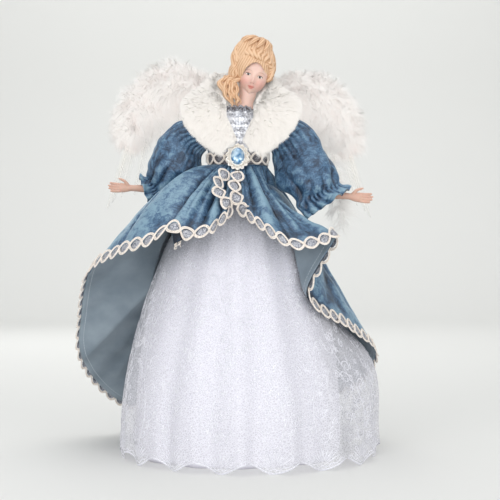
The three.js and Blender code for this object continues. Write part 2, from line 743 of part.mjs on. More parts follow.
function settingForm() {
  const count = SETTING_PETALS * 4;
  const outline = Array.from({ length: count }, (_, index) => {
    const angle = (TAU * index) / count;
    const rim = SETTING_RIM + SETTING_PETAL_DEPTH * Math.cos(SETTING_PETALS * angle);
    const across = (GEM_WIDTH / 2 + rim) * Math.cos(angle);
    return new THREE.Vector2(across, (GEM_HEIGHT / 2 + rim) * Math.sin(angle));
  });
  const flat = { depth: SETTING_THICKNESS, bevelEnabled: false };
  const plate = new THREE.ExtrudeGeometry(new THREE.Shape(outline), flat);
  return plate.rotateX(Math.PI / 2);
}

function gemPlace() {
  return -(SETTING_THICKNESS - GEM_SINK);
}

function broochSetting() {
  return cut(settingForm(), gemForm(SEAT_GAP).translate(0, gemPlace(), 0));
}

function broochGem() {
  return gemForm(0).translate(0, gemPlace(), 0);
}

// The room that the fur leaves for the brooch, right through the collar
function aroundBrooch() {
  const deep = 2 * WAIST_RADIUS;
  const grow = 1 + (2 * CLOTH_GAP) / GEM_WIDTH;
  const room = settingForm().scale(grow, deep / SETTING_THICKNESS, grow).translate(0, deep / 2, 0);
  return room.rotateX(-degToRad(BROOCH_TILT)).translate(0, -SETTING_BACK, WAIST_HEIGHT);
}

// Fur collar: one roll from tip to tip round the back of the neck

function collarRings(count) {
  const mirrored = COLLAR_STATIONS.slice(0, -1).map(({ at, size, facing }) => ({
    at: [-at[0], at[1], at[2]],
    size,
    facing: [-facing[0], facing[1], facing[2]],
  }));
  const stations = [...COLLAR_STATIONS, ...mirrored.reverse()];
  const line = spline(stations.map(({ at: [x, y, rise] }) => [x + COLLAR_OFFSET, y, WAIST_HEIGHT + rise]));
  const sizes = spline(stations.map(({ size }) => [...size, 0]));
  const ways = spline(stations.map(({ facing }) => facing));
  return Array.from({ length: count + 1 }, (_, index) => {
    const share = index / count;
    const tangent = line.getTangent(share);
    const across = new THREE.Vector3().crossVectors(ways.getPoint(share), tangent).normalize();
    const facing = new THREE.Vector3().crossVectors(tangent, across).normalize();
    const size = sizes.getPoint(share);
    return ellipse(line.getPoint(share), across, facing, size.x, size.y, 10);
  });
}

function furCollar() {
  const body = bodyEnvelope(COAT_OUTSIDE + CLOTH_GAP);
  const hair = hairForm(CLOTH_GAP);
  return cut(loft(collarRings(26)), body, aroundBrooch(), hair, headSurface(CLOTH_GAP), neckSleeve());
}

// Sleeves

function sleeveFrame(stations, side) {
  const line = spline(stations.map(([out, y, rise]) => [side * out, y, WAIST_HEIGHT + rise]));
  const sizes = spline(stations.map(([, , , tilt, long, deep]) => [tilt, long, deep]));
  return (v) => {
    const { x: tilt, y: long, z: deep } = sizes.getPoint(v);
    const lean = degToRad(tilt);
    const axis = new THREE.Vector3(side * Math.sin(lean), 0, Math.cos(lean));
    return { at: line.getPoint(v), axis, long, deep };
  };
}

function sleeveWall(stations, side) {
  const frame = sleeveFrame(stations, side);
  return wall(SLEEVE_SIDES, 2 * (stations.length - 1), true, (u, v, outer) => {
    const { at, axis, long, deep } = frame(v);
    const flute = 1 + SLEEVE_FLUTE_DEPTH * Math.cos(SLEEVE_FLUTES * TAU * u) * smoothstep(v, 0.6, 1);
    const inset = outer ? 0 : VELVET;
    return at
      .addScaledVector(axis, (long * flute - inset) * Math.cos(TAU * u))
      .addScaledVector(Y, (deep * flute - inset) * Math.sin(TAU * u));
  });
}

// The room that the body takes up as the arm lifts, seen from the arm
function bodyPastArm(side) {
  const pivot = new THREE.Vector3(side * SHOULDER_PIVOT, 0, SHOULDER_WIRE_HEIGHT);
  return Array.from({ length: ARM_LIFT_STEPS + 1 }, (_, step) => {
    const body = bodyEnvelope(COAT_OUTSIDE + CLOTH_GAP).translate(-pivot.x, -pivot.y, -pivot.z);
    body.rotateY(side * degToRad((ARM_LIFT * step) / ARM_LIFT_STEPS));
    return body.translate(...pivot);
  });
}

function sleeve(stations, side) {
  return cut(sleeveWall(stations, side), ...bodyPastArm(side));
}

// The elastic sits inside the sleeve, where the ruffle starts
function cuffElastic(stations, side) {
  const frame = sleeveFrame(stations, side);
  const middle = ELASTIC_STATION / (stations.length - 1);
  const { at, axis, long, deep } = frame(middle);
  const way = frame(middle + 0.01).at.sub(frame(middle - 0.01).at).normalize();
  return wall(SLEEVE_SIDES, 1, true, (u, v, outer) => {
    const flute = 1 + SLEEVE_FLUTE_DEPTH * Math.cos(SLEEVE_FLUTES * TAU * u) * smoothstep(middle, 0.6, 1);
    const inset = VELVET + CLOTH_GAP + (outer ? 0 : ELASTIC_THICKNESS);
    return at
      .clone()
      .addScaledVector(way, ELASTIC_WIDTH * (v - 0.5))
      .addScaledVector(axis, (long * flute - inset) * Math.cos(TAU * u))
      .addScaledVector(Y, (deep * flute - inset) * Math.sin(TAU * u));
  });
}

// Arms

function armCurve(stations, side, bend) {
  const start = new THREE.Vector3(side * SHOULDER_PIVOT, 0, SHOULDER_WIRE_HEIGHT);
  const place = ([out, y, rise]) => new THREE.Vector3(side * out, y, WAIST_HEIGHT + rise);
  const [, , elbow, cuff] = stations.map(place);
  const knee = elbow.clone().lerp(cuff, 0.3);
  const end = bend.clone().addScaledVector(knee.clone().sub(bend).normalize(), FOREARM_RADIUS + SEAT_GAP);
  return new THREE.CatmullRomCurve3([start, knee, end]);
}

const ARM_STEPS = 8;

function armWire(curve) {
  return wire(curve, ARM_STEPS);
}

// Wadding wound round the arm wire
function armPadding(curve) {
  return wall(8, ARM_STEPS - 2, true, (u, v, outer) => {
    const share = lerp(1, ARM_STEPS - 1, v) / ARM_STEPS;
    const tangent = curve.getTangentAt(share);
    const first = new THREE.Vector3().crossVectors(tangent, Y).normalize();
    const second = new THREE.Vector3().crossVectors(tangent, first);
    const radius = outer ? PADDING_RADIUS * (1 - 0.35 * v) : WIRE_RADIUS + CLOTH_GAP;
    return curve
      .getPointAt(share)
      .addScaledVector(first, radius * Math.cos(TAU * u))
      .addScaledVector(second, radius * Math.sin(TAU * u));
  });
}

// A tapering finger along a curve, round at its tip
function finger(points, radius) {
  const curve = spline(points);
  const sides = 5;
  const rings = [0, 0.35, 0.7, 0.92, 1].map((share) => {
    const tangent = curve.getTangent(share);
    const first = new THREE.Vector3().crossVectors(tangent, Y).normalize();
    const second = new THREE.Vector3().crossVectors(tangent, first);
    const size = radius * (share > 0.99 ? 0.45 : 1 - 0.2 * share);
    return ellipse(curve.getPoint(share), first, second, size, size, sides);
  });
  return loft(rings);
}

// Forearm and hand along +X, thumb up, palm to the front; the ball end is at the origin
function forearm() {
  const knuckles = FOREARM_LENGTH + PALM_LENGTH;
  const arm = [
    [-FOREARM_RADIUS * 0.8, FOREARM_RADIUS * 0.6, FOREARM_RADIUS * 0.6],
    [0, FOREARM_RADIUS, FOREARM_RADIUS],
    [FOREARM_LENGTH * 0.5, FOREARM_RADIUS, FOREARM_RADIUS * 0.95],
    [FOREARM_LENGTH, WRIST_RADIUS, WRIST_RADIUS * 0.9],
    [FOREARM_LENGTH + PALM_LENGTH * 0.45, PALM_HALF_HEIGHT * 0.92, PALM_HALF_THICKNESS * 1.05],
    [knuckles - 1, PALM_HALF_HEIGHT, PALM_HALF_THICKNESS],
    [knuckles + 0.6, PALM_HALF_HEIGHT * 0.8, PALM_HALF_THICKNESS * 0.6],
  ];
  const ring = ([x, tall, deep]) => ellipse(new THREE.Vector3(x, 0, 0), Z, Y, tall, deep, 12);
  const forms = [loft(arm.map(ring))];
  FINGER_LENGTHS.forEach((length, index) => {
    const spread = (index - (FINGER_LENGTHS.length - 1) / 2) / FINGER_LENGTHS.length;
    const z = spread * 2 * (PALM_HALF_HEIGHT - 0.2);
    const root = [knuckles - 2.5, 0, z * 0.95];
    const middle = [knuckles + length * 0.5, -0.4, z * 1.12];
    const tip = [knuckles + length, -2.2, z * 1.2 + 0.4];
    forms.push(finger([root, middle, tip], FINGER_RADIUS));
  });
  const thumbRoot = [FOREARM_LENGTH + PALM_LENGTH * 0.25, -0.6, PALM_HALF_HEIGHT * 0.4];
  const thumbBend = [FOREARM_LENGTH + PALM_LENGTH * 0.55, -2, PALM_HALF_HEIGHT + 1.6];
  const thumbTip = [FOREARM_LENGTH + PALM_LENGTH * 0.25 + THUMB_LENGTH, -3, PALM_HALF_HEIGHT + 4.4];
  forms.push(finger([thumbRoot, thumbBend, thumbTip], FINGER_RADIUS * 1.15));
  return toGeometry(join(forms));
}

// Wings

function backOfCoat() {
  const [, halfDepth] = bodySize(WING_PLATE_CENTRE);
  return halfDepth + COAT_OUTSIDE + SEAT_GAP;
}

function wingPlate() {
  const depth = WING_PLATE_THICKNESS + WAIST_RADIUS / 2;
  const plate = new THREE.CylinderGeometry(1, 1, depth, 24);
  plate.scale(WING_PLATE_WIDTH / 2, 1, WING_PLATE_HEIGHT / 2);
  plate.translate(0, backOfCoat() + WING_PLATE_THICKNESS - depth / 2, WING_PLATE_CENTRE);
  return cut(plate, bodyEnvelope(COAT_OUTSIDE + CLOTH_GAP));
}

function wingStemDepth() {
  return backOfCoat() + WING_PLATE_THICKNESS + CLOTH_GAP + WIRE_RADIUS;
}

function wingCurve(side) {
  const stem = (z) => new THREE.Vector3(side * WING_STEM_OUT, wingStemDepth(), z);
  const low = WING_PLATE_CENTRE - WING_STEM_LENGTH / 2;
  const base = WAIST_HEIGHT - (side > 0 ? LEFT_WING_DROP : 0);
  const place = ([out, back, rise]) => new THREE.Vector3(side * out, wingStemDepth() + back, base + rise);
  const arch = WING_ARCH.map(place);
  return new THREE.CatmullRomCurve3([stem(low), stem(low + WING_STEM_LENGTH), ...arch]);
}

const WING_STEPS = 14;
const MARABOU_FIRST_STEP = 5;
const MARABOU_SIDES = 9;

function marabouRadius(share) {
  return MARABOU_RADIUS * Math.sqrt(Math.sin(Math.PI * lerp(0.1, 0.93, share)));
}

// The roll of down round the wire, with a bore for the wire, or filled to cut its neighbours
function marabou(side, filled) {
  const curve = wingCurve(side);
  const rows = WING_STEPS - MARABOU_FIRST_STEP;
  const ringAt = (v, radius, past = 0) => {
    const share = lerp(MARABOU_FIRST_STEP / WING_STEPS, 1, v);
    const tangent = curve.getTangentAt(share);
    const first = new THREE.Vector3().crossVectors(tangent, Y).normalize();
    const second = new THREE.Vector3().crossVectors(tangent, first);
    const centre = curve.getPointAt(share).addScaledVector(tangent, past);
    return ellipse(centre, first, second, radius, radius, MARABOU_SIDES);
  };
  if (filled) {
    const levels = Array.from({ length: rows + 1 }, (_, row) => row / rows);
    const swollen = (v, past) => ringAt(v, marabouRadius(v) + SEAT_GAP, past);
    return loft([swollen(0, -SEAT_GAP), ...levels.map((v) => swollen(v, 0)), swollen(1, SEAT_GAP)]);
  }
  return wall(MARABOU_SIDES, rows, true, (u, v, outer) => {
    const ring = ringAt(v, outer ? marabouRadius(v) : WIRE_RADIUS + CLOTH_GAP);
    return ring[Math.round(u * MARABOU_SIDES) % MARABOU_SIDES];
  });
}

// A long feather hanging from the roll: a leaf outline, pulled out towards the tip of the wing
function feather(side, number) {
  const curve = wingCurve(side);
  const share = number / (FEATHERS - 1);
  const root = curve.getPointAt(lerp(0.52, 0.94, share));
  const length = FEATHER_LENGTH * lerp(1.12, 0.78, share);
  const outline = new THREE.Shape();
  outline.moveTo(-FEATHER_WIDTH * 0.12, 0);
  outline.quadraticCurveTo(-FEATHER_WIDTH * 0.62, -length * 0.5, 0, -length);
  outline.quadraticCurveTo(FEATHER_WIDTH * 0.62, -length * 0.5, FEATHER_WIDTH * 0.12, 0);
  const flat = { depth: FEATHER_THICKNESS, bevelEnabled: false, curveSegments: 8 };
  const blade = new THREE.ExtrudeGeometry(outline, flat);
  blade.rotateX(Math.PI / 2);
  blade.rotateY(-side * degToRad(lerp(4, 14, share)));
  blade.translate(root.x, root.y + FEATHER_PITCH * (number - FEATHERS / 2), root.z);
  return cut(blade, marabou(side, true));
}

// Assembly

const FINISHES = {
  card: { color: "#d9d2c4", roughness: 0.9, metalness: 0 },
  foam: { color: "#eceae4", roughness: 0.95, metalness: 0 },
  bisque: { color: "#e0b3a0", roughness: 0.6, metalness: 0 },
  hair: { color: "#e8b97c", roughness: 0.6, metalness: 0 },
  satin: { color: "#ebe9f4", roughness: 0.35, metalness: 0 },
  lace: { color: "#dcdce0", roughness: 0.8, metalness: 0 },
  sequins: { color: "#c9c9cc", roughness: 0.25, metalness: 0.8 },
  velvet: { color: "#3f6084", roughness: 0.85, metalness: 0 },
  braid: { color: "#e6d8ca", roughness: 0.7, metalness: 0 },
  ribbon: { color: "#e9dcc9", roughness: 0.5, metalness: 0 },
  filigree: { color: "#d8d0bf", roughness: 0.3, metalness: 0.9 },
  gem: { color: "#5f9cc4", roughness: 0.05, metalness: 0 },
  fur: { color: "#f4f1ec", roughness: 0.95, metalness: 0 },
  wire: { color: "#b8b8b8", roughness: 0.4, metalness: 0.9 },
  elastic: { color: "#f0f0f0", roughness: 0.8, metalness: 0 },
};

const topper = new THREE.Group();

function place(parent, name, geometry, finish) {
  const mesh = new THREE.Mesh(geometry, new THREE.MeshStandardMaterial(FINISHES[finish]));
  mesh.name = name;
  parent.add(mesh);
  return mesh;
}

place(topper, "tree_cone", treeCone(), "card");
place(topper, "torso_core", torsoCore(), "foam");
place(topper, "shoulder_wire", shoulderWire(), "wire");
place(topper, "head_casting", headCasting(), "bisque");
place(topper, "moulded_hair", mouldedHair(), "hair");
place(topper, "sequin_bodice", sequinBodice(), "sequins");
place(topper, "neckline_trim", necklineTrim(), "braid");
place(topper, "satin_skirt", satinSkirt(), "satin");
place(topper, "lace_overskirt", laceOverskirt(), "lace");
place(topper, "coat_bodice", coatBodice(), "velvet");
place(topper, "coat_skirt", coatSkirt(), "velvet");
place(topper, "coat_braid", coatBraid(), "braid");
place(topper, "waist_ribbon", waistRibbon(), "ribbon");
place(topper, "belt_braid", beltBraid(), "braid");
place(topper, "fur_collar", furCollar(), "fur");

const brooch = new THREE.Group();
brooch.position.set(0, -SETTING_BACK, WAIST_HEIGHT);
brooch.rotation.x = -degToRad(BROOCH_TILT);
place(brooch, "brooch_setting", broochSetting(), "filigree");
place(brooch, "brooch_gem", broochGem(), "gem");
topper.add(brooch);

const ARMS = [
  { name: "right", side: -1, stations: RIGHT_SLEEVE, bend: RIGHT_WRIST_BEND, slope: RIGHT_HAND_SLOPE },
  { name: "left", side: 1, stations: LEFT_SLEEVE, bend: LEFT_WRIST_BEND, slope: LEFT_HAND_SLOPE },
];
for (const { name, side, stations, bend, slope } of ARMS) {
  const curve = armCurve(stations, side, bend);
  place(topper, `${name}_sleeve`, sleeve(stations, side), "velvet");
  place(topper, `${name}_cuff_elastic`, cuffElastic(stations, side), "elastic");
  place(topper, `${name}_arm_wire`, armWire(curve), "wire");
  place(topper, `${name}_arm_padding`, armPadding(curve), "foam");
  const hand = place(topper, `${name}_forearm`, forearm(), "bisque");
  hand.position.copy(bend);
  hand.rotation.y = -side * degToRad(slope);
  hand.scale.x = side;
}

place(topper, "wing_plate", wingPlate(), "card");
for (const { name, side } of ARMS) {
  place(topper, `${name}_wing_wire`, wire(wingCurve(side), WING_STEPS), "wire");
  place(topper, `${name}_wing_marabou`, marabou(side, false), "fur");
  for (let number = 0; number < FEATHERS; number++) {
    place(topper, `${name}_wing_feather_${number + 1}`, feather(side, number), "fur");
  }
}

export default topper;
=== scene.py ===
# %% [markdown]
# # Angel tree topper
# A dressed doll on a card cone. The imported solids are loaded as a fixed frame, and every piece of
# cloth, fur, hair and trim is then made over them, in the same place and at the same size.

# %% Load the frame
import math
import bpy
import numpy as np
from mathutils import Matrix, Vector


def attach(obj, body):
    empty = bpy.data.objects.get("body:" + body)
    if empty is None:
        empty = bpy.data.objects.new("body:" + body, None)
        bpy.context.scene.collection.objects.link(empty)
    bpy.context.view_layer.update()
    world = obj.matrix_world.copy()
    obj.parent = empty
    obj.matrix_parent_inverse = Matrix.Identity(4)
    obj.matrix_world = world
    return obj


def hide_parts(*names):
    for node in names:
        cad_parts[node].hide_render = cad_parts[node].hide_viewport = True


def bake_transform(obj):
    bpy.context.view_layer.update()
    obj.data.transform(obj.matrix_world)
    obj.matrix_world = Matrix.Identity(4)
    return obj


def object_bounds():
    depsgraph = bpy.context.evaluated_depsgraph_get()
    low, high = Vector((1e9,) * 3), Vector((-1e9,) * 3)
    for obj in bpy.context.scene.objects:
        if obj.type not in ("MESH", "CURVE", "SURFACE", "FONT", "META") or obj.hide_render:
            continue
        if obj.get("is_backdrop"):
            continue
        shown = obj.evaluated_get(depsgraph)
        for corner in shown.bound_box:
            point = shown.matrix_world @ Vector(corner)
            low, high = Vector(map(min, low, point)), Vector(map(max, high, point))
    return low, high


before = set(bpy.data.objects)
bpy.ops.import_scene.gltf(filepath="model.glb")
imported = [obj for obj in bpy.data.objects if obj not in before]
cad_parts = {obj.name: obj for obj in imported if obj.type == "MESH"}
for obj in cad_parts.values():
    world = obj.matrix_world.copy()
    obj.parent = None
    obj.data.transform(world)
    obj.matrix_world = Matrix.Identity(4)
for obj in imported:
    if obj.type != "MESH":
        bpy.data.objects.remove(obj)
cad_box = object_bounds()

# %% [markdown]
# ## Small helpers
# Shapes are worked out in millimetres, as arrays of points, because that is how the real pieces are
# measured. One function turns such an array into a mesh in metres and hangs it on its body.

# %% Helpers for colour, nodes and meshes
MM = 0.001
TAU = 2 * math.pi


def srgb(code):
    """A colour such as #3f6084 as the linear values that shaders take."""
    parts = [int(code[i : i + 2], 16) / 255 for i in (1, 3, 5)]
    return [p / 12.92 if p <= 0.04045 else ((p + 0.055) / 1.055) ** 2.4 for p in parts] + [1.0]


def add_node(tree, kind, inputs=None, stops=(), into=None, **settings):
    """Adds a node with its settings and links; stops colour a ramp, into is the input that it feeds."""
    made = tree.nodes.new(kind)
    for key, value in settings.items():
        setattr(made, key, value)
    for key, value in (inputs or {}).items():
        if isinstance(value, bpy.types.NodeSocket):
            tree.links.new(value, made.inputs[key])
        else:
            made.inputs[key].default_value = value
    for number, (at, colour) in enumerate(stops):
        marks = made.color_ramp.elements
        mark = marks[number] if number < 2 else marks.new(at)
        mark.position, mark.color = at, srgb(colour)
    if into:
        fed, socket = into
        tree.links.new(made.outputs[0], fed.inputs[socket])
    return made


def new_material(name, **sockets):
    """A material with one Principled shader; sockets are written with _ for a space."""
    material = bpy.data.materials.new(name)
    material.use_nodes = True
    shader = material.node_tree.nodes["Principled BSDF"]
    for key, value in sockets.items():
        shader.inputs[key.replace("_", " ")].default_value = value
    return material, material.node_tree, shader


def mottled(name, texture, inputs, stops, relief=None, output="Fac", **sockets):
    """A material whose colour, and relief of (strength, depth in metres), follow one texture."""
    material, tree, shader = new_material(name, **sockets)
    place = add_node(tree, "ShaderNodeTexCoord")
    made = add_node(tree, texture, {"Vector": place.outputs["Object"], **inputs})
    value = made.outputs[output]
    add_node(tree, "ShaderNodeValToRGB", {"Fac": value}, stops, (shader, "Base Color"))
    if relief:
        height = {"Height": value, "Strength": relief[0], "Distance": relief[1]}
        add_node(tree, "ShaderNodeBump", height, into=(shader, "Normal"))
    return material


def mesh_piece(name, points, faces, materials, body, layer=None, smooth=True, normals=None, **attributes):
    """A mesh from millimetres that rides on a body, if any; layer is each face's material number."""
    mesh = bpy.data.meshes.new(name)
    mesh.from_pydata((np.asarray(points, float).reshape(-1, 3) * MM).tolist(), [], faces)
    for material in materials:
        mesh.materials.append(material)
    if layer is not None:
        mesh.polygons.foreach_set("material_index", np.asarray(layer, np.int32))
    mesh.polygons.foreach_set("use_smooth", np.full(len(mesh.polygons), smooth))
    for key, value in attributes.items():
        kind = "FLOAT" if np.ndim(value) == 1 else "FLOAT_VECTOR"
        field = "value" if kind == "FLOAT" else "vector"
        mesh.attributes.new(key, kind, "POINT").data.foreach_set(field, np.asarray(value, float).ravel())
    mesh.update()
    if normals is not None:
        mesh.normals_split_custom_set_from_vertices(np.asarray(normals, float).tolist())
    piece = bpy.data.objects.new(name, mesh)
    bpy.context.scene.collection.objects.link(piece)
    if body is not None:
        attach(piece, body)
    return piece


def grid_faces(rows, columns, ring=False, start=0, flip=False):
    """Quads over rows of points; a ring joins each row's last point to its first."""
    index = start + np.arange(rows * columns).reshape(rows, columns)
    if ring:
        index = np.concatenate([index, index[:, :1]], axis=1)
    a, b, c, d = index[:-1, :-1], index[:-1, 1:], index[1:, 1:], index[1:, :-1]
    quads = np.stack([a, d, c, b] if flip else [a, b, c, d], axis=-1)
    return quads.reshape(-1, 4).tolist()


def end_faces(rings, sides):
    """The faces that close the first and the last ring of a tube."""
    last = (rings - 1) * sides
    return [list(range(sides)), list(range(last + sides - 1, last - 1, -1))]


def round_angles(count):
    """Angles all the way round, the last one step short of the first."""
    return np.arange(count) * TAU / count


def step_lengths(line, axis=0):
    return np.linalg.norm(np.diff(line, axis=axis), axis=-1)


def between(where, run, line):
    """Points of a line where it has run a given length."""
    return np.stack([np.interp(where, run, line[:, k]) for k in range(3)], axis=-1)


def spline(stations, share, alpha=0.0):
    """Points on the smooth curve through stations; alpha 0.5 evens out unequal spacing."""
    stations = np.asarray(stations, float)
    before = 2 * stations[0] - stations[1]
    after = 2 * stations[-1] - stations[-2]
    line = np.vstack([before, stations, after])
    place = np.clip(np.asarray(share, float), 0, 1) * (len(stations) - 1)
    step = np.minimum(place.astype(int), len(stations) - 2)
    t = (place - step)[..., None]
    p0, p1, p2, p3 = (line[step + k] for k in range(4))
    pairs = ((p0, p1), (p1, p2), (p2, p3))
    d0, d1, d2 = (np.linalg.norm(b - a, axis=-1)[..., None] ** alpha for a, b in pairs)
    m1 = d1 * ((p1 - p0) / d0 - (p2 - p0) / (d0 + d1) + (p2 - p1) / d1)
    m2 = d1 * ((p2 - p1) / d1 - (p3 - p1) / (d1 + d2) + (p3 - p2) / d2)
    return p1 + m1 * t + (3 * (p2 - p1) - 2 * m1 - m2) * t**2 + (2 * (p1 - p2) + m1 + m2) * t**3


def ease(x, low, high):
    """0 up to low, 1 from high on, and a smooth step between them."""
    t = np.clip((np.asarray(x, float) - low) / (high - low), 0, 1)
    return t * t * (3 - 2 * t)


def unit(v):
    return v / np.maximum(np.linalg.norm(v, axis=-1, keepdims=True), 1e-9)


def ripple(points, wavelength, seed, waves=7):
    """Soft seeded unevenness between about -1 and 1, made of waves in many directions."""
    rng = np.random.default_rng(seed)
    ways = unit(rng.normal(size=(waves, 3))) * TAU / (wavelength * rng.uniform(0.7, 1.5, (waves, 1)))
    return np.sin(np.asarray(points) @ ways.T + rng.uniform(0, TAU, waves)).sum(-1) / math.sqrt(waves)


def polar(angle, radius, z):
    """Angle 0 is the front and it grows towards the doll's left."""
    angle, radius, z = np.broadcast_arrays(angle, radius, z)
    return np.stack([radius * np.sin(angle), -radius * np.cos(angle), z], axis=-1)


def ball(down, angle):
    """Points of a ball of radius 1; down is the angle from its top."""
    return polar(angle, np.sin(down), np.cos(down))


def square_to(ways, axis):
    """Directions turned square to an axis."""
    return unit(ways - axis * (ways * axis).sum(-1, keepdims=True))


def weave_place(across, up):
    """Where each point of a cloth is on its weave, in millimetres."""
    return np.stack(np.broadcast_arrays(across, up, 0 * up), axis=-1).reshape(-1, 3)


def grid_normals(grid, ring=False):
    """Outward direction at each point of a grid that runs down in rows and leftwards in columns."""
    if ring:
        along = np.roll(grid, -1, axis=1) - np.roll(grid, 1, axis=1)
    else:
        along = np.gradient(grid, axis=1)
    return unit(np.cross(np.gradient(grid, axis=0), along))


def cloth_shell(grid, thickness, ring=False):
    """Both faces of a cloth and its rim: points, faces and the material number of each face."""
    rows, columns = grid.shape[:2]
    out = grid + grid_normals(grid, ring) * thickness
    points = np.concatenate([out.reshape(-1, 3), grid.reshape(-1, 3)])
    count = rows * columns
    right = grid_faces(rows, columns, ring, flip=True)
    reverse = grid_faces(rows, columns, ring, start=count)
    index = np.arange(count).reshape(rows, columns)
    if ring:
        edges = [np.append(e, e[0]) for e in (index[0], index[-1][::-1])]
    else:
        edges = [np.concatenate([index[0], index[1:, -1], index[-1, -2::-1], index[-2::-1, 0]])]
    rim = [[a, b, b + count, a + count] for e in edges for a, b in zip(e[:-1].tolist(), e[1:].tolist())]
    layer = [0] * len(right) + [1] * len(reverse) + [0] * len(rim)
    return points, right + reverse + rim, layer


def merge(*forms):
    """Joins pairs of points and faces into one pair."""
    points, faces, start = [], [], 0
    for some_points, some_faces in forms:
        some_points = np.asarray(some_points, float).reshape(-1, 3)
        points.append(some_points)
        faces += [[corner + start for corner in face] for face in some_faces]
        start += len(some_points)
    return np.concatenate(points), faces


def tube(line, radius, sides=6, up=(0, 0, 1)):
    """A round cord along a line, closed at both ends; the radius may change along it."""
    line = np.asarray(line, float)
    way = unit(np.gradient(line, axis=0))
    side = unit(np.cross(way, np.broadcast_to(up, line.shape)))
    top = np.cross(side, way)
    turn = round_angles(sides)[:, None]
    radius = np.broadcast_to(radius, len(line))[:, None, None]
    rings = line[:, None] + radius * (np.cos(turn) * side[:, None] + np.sin(turn) * top[:, None])
    faces = grid_faces(len(line), sides, ring=True, flip=True) + end_faces(len(line), sides)
    return rings.reshape(-1, 3), faces


def declare_cloth(piece, grid, ring=False):
    """Prints the flat size of a sheet of cloth, as long and wide as the grid's longest lines; its area is worked out
    too.
    """
    if ring:
        grid = np.concatenate([grid, grid[:, :1]], axis=1)
    wide = step_lengths(grid, 1).sum(1).max() * MM
    tall = step_lengths(grid).sum(0).max() * MM
    corners = np.cross(grid[1:, 1:] - grid[:-1, :-1], grid[1:, :-1] - grid[:-1, 1:])
    area = min(np.linalg.norm(corners, axis=-1).sum() / 2 * MM * MM, wide * tall)
    flat = (round(float(wide), 3), round(float(tall), 3))
    area = min(float(area), flat[0] * flat[1])
    print(piece.name, "is cut to", flat, "m")


print("helpers ready")

# %% [markdown]
# ## Camera, floor and light
# The photograph is a product shot from about 1.2 m, level with the coat's hem: the hem of the skirt
# shows as a shallow ellipse, which gives the camera's height and distance. A sweep of pale paper lies
# under the doll and rises 3 m behind it, far enough to walk round, and the soft lights are large.

# %% Camera
CAMERA_AT = (0.0117, -1.225, 0.19715)
FOCAL_PIXELS, PICTURE_PIXELS, SENSOR_MM = 1255, 500, 36
scene = bpy.context.scene
camera = bpy.data.objects.new("camera", bpy.data.cameras.new("camera"))
scene.collection.objects.link(camera)
camera.location = CAMERA_AT
camera.rotation_euler = (math.radians(90), 0, 0)
camera.data.sensor_width = SENSOR_MM
camera.data.lens = SENSOR_MM * FOCAL_PIXELS / PICTURE_PIXELS
scene.camera = camera
scene.view_settings.view_transform = "Standard"
print("camera at", tuple(round(v, 3) for v in camera.location))

# %% Paper sweep and lights
# Metres: half the paper's width, where its curve up to the wall starts, the curve's radius, its top.
PAPER_HALF, CURVE_FROM, CURVE_RADIUS, PAPER_TOP = 3.2, 2.2, 0.8, 3.0
paper, _, _ = new_material("matte_backdrop_paper", Roughness=0.9, Base_Color=srgb("#e0e0dd"))
profile = [(-PAPER_HALF, 0.0)]
for bend in np.linspace(0, math.pi / 2, 13):
    rise = CURVE_RADIUS - CURVE_RADIUS * math.cos(bend)
    profile.append((CURVE_FROM + CURVE_RADIUS * math.sin(bend), rise))
profile.append((CURVE_FROM + CURVE_RADIUS, PAPER_TOP))
sweep = [[x, y, z] for x in (-PAPER_HALF, PAPER_HALF) for y, z in profile]
mesh = bpy.data.meshes.new("paper_sweep")
mesh.from_pydata(sweep, [], grid_faces(2, len(profile)))
mesh.materials.append(paper)
mesh.polygons.foreach_set("use_smooth", [True] * len(mesh.polygons))
floor = bpy.data.objects.new("paper_sweep", mesh)
scene.collection.objects.link(floor)
floor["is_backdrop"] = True

world = bpy.data.worlds.new("studio")
scene.world = world
world.use_nodes = True
room = world.node_tree.nodes["Background"].inputs
room["Color"].default_value = srgb("#f2f4f6")
room["Strength"].default_value = 0.69

# Name, place, what it points at, size in metres and power in watts.
LAMPS = [
    ("overhead", (0.0, -0.25, 1.5), (0, 0, 0.2), 1.3, 6.5),
    ("front_left", (-1.35, -2.0, 0.85), (0, 0, 0.22), 1.2, 16),
    ("front_right", (1.45, -1.9, 0.65), (0, 0, 0.22), 1.2, 12.5),
    ("front_low", (0.1, -2.4, 0.4), (0, 0, 0.2), 1.2, 13),
    ("rear_fill", (-0.5, 1.6, 1.0), (0, 0, 0.22), 1.0, 3.5),
    ("backdrop", (0.0, 1.7, 2.0), (0, 2.9, 0.4), 2.0, 16.5),
]
for name, at, target, size, power in LAMPS:
    lamp = bpy.data.objects.new(name, bpy.data.lights.new(name, "AREA"))
    lamp.data.size = size
    lamp.data.energy = power
    lamp.location = at
    lamp.visible_camera = False
    way = [t - a for a, t in zip(at, target)]
    lamp.rotation_euler = Vector(way).to_track_quat("-Z", "Y").to_euler()
    scene.collection.objects.link(lamp)
print("lights:", len(LAMPS))

# %% [markdown]
# ## Forms of the skirts
# The satin skirt is gathered at the top of the cone and puffs away from it. The lace hangs over it and
# stands off further in front and at the doll's left. Both are radii that depend on the angle round
# the doll and on the height, so the lace can't pass through the satin and the coat can rest on both.

# %% Skirt forms
CONE_HEIGHT, CONE_FOOT, CONE_TOP = 262, 93, 22
CLOTH_GAP, DRAPE_GAP = 0.6, 3
SKIRT_TOP = CONE_HEIGHT - CLOTH_GAP
SATIN_PUFF, SATIN_FOLDS, SATIN_FOLD_DEPTH = 30, 13, 4
LACE_STANDS_OFF, LACE_MORE_LEFT, LACE_MORE_FRONT = 20, 11, 5
LACE_FOLDS, LACE_FOLD_DEPTH = 15, 5
BILLOW, BILLOW_AT, BILLOW_SPREAD = 14, math.radians(105), math.radians(30)


def way_down(z):
    return np.clip((SKIRT_TOP - z) / SKIRT_TOP, 0, 1)


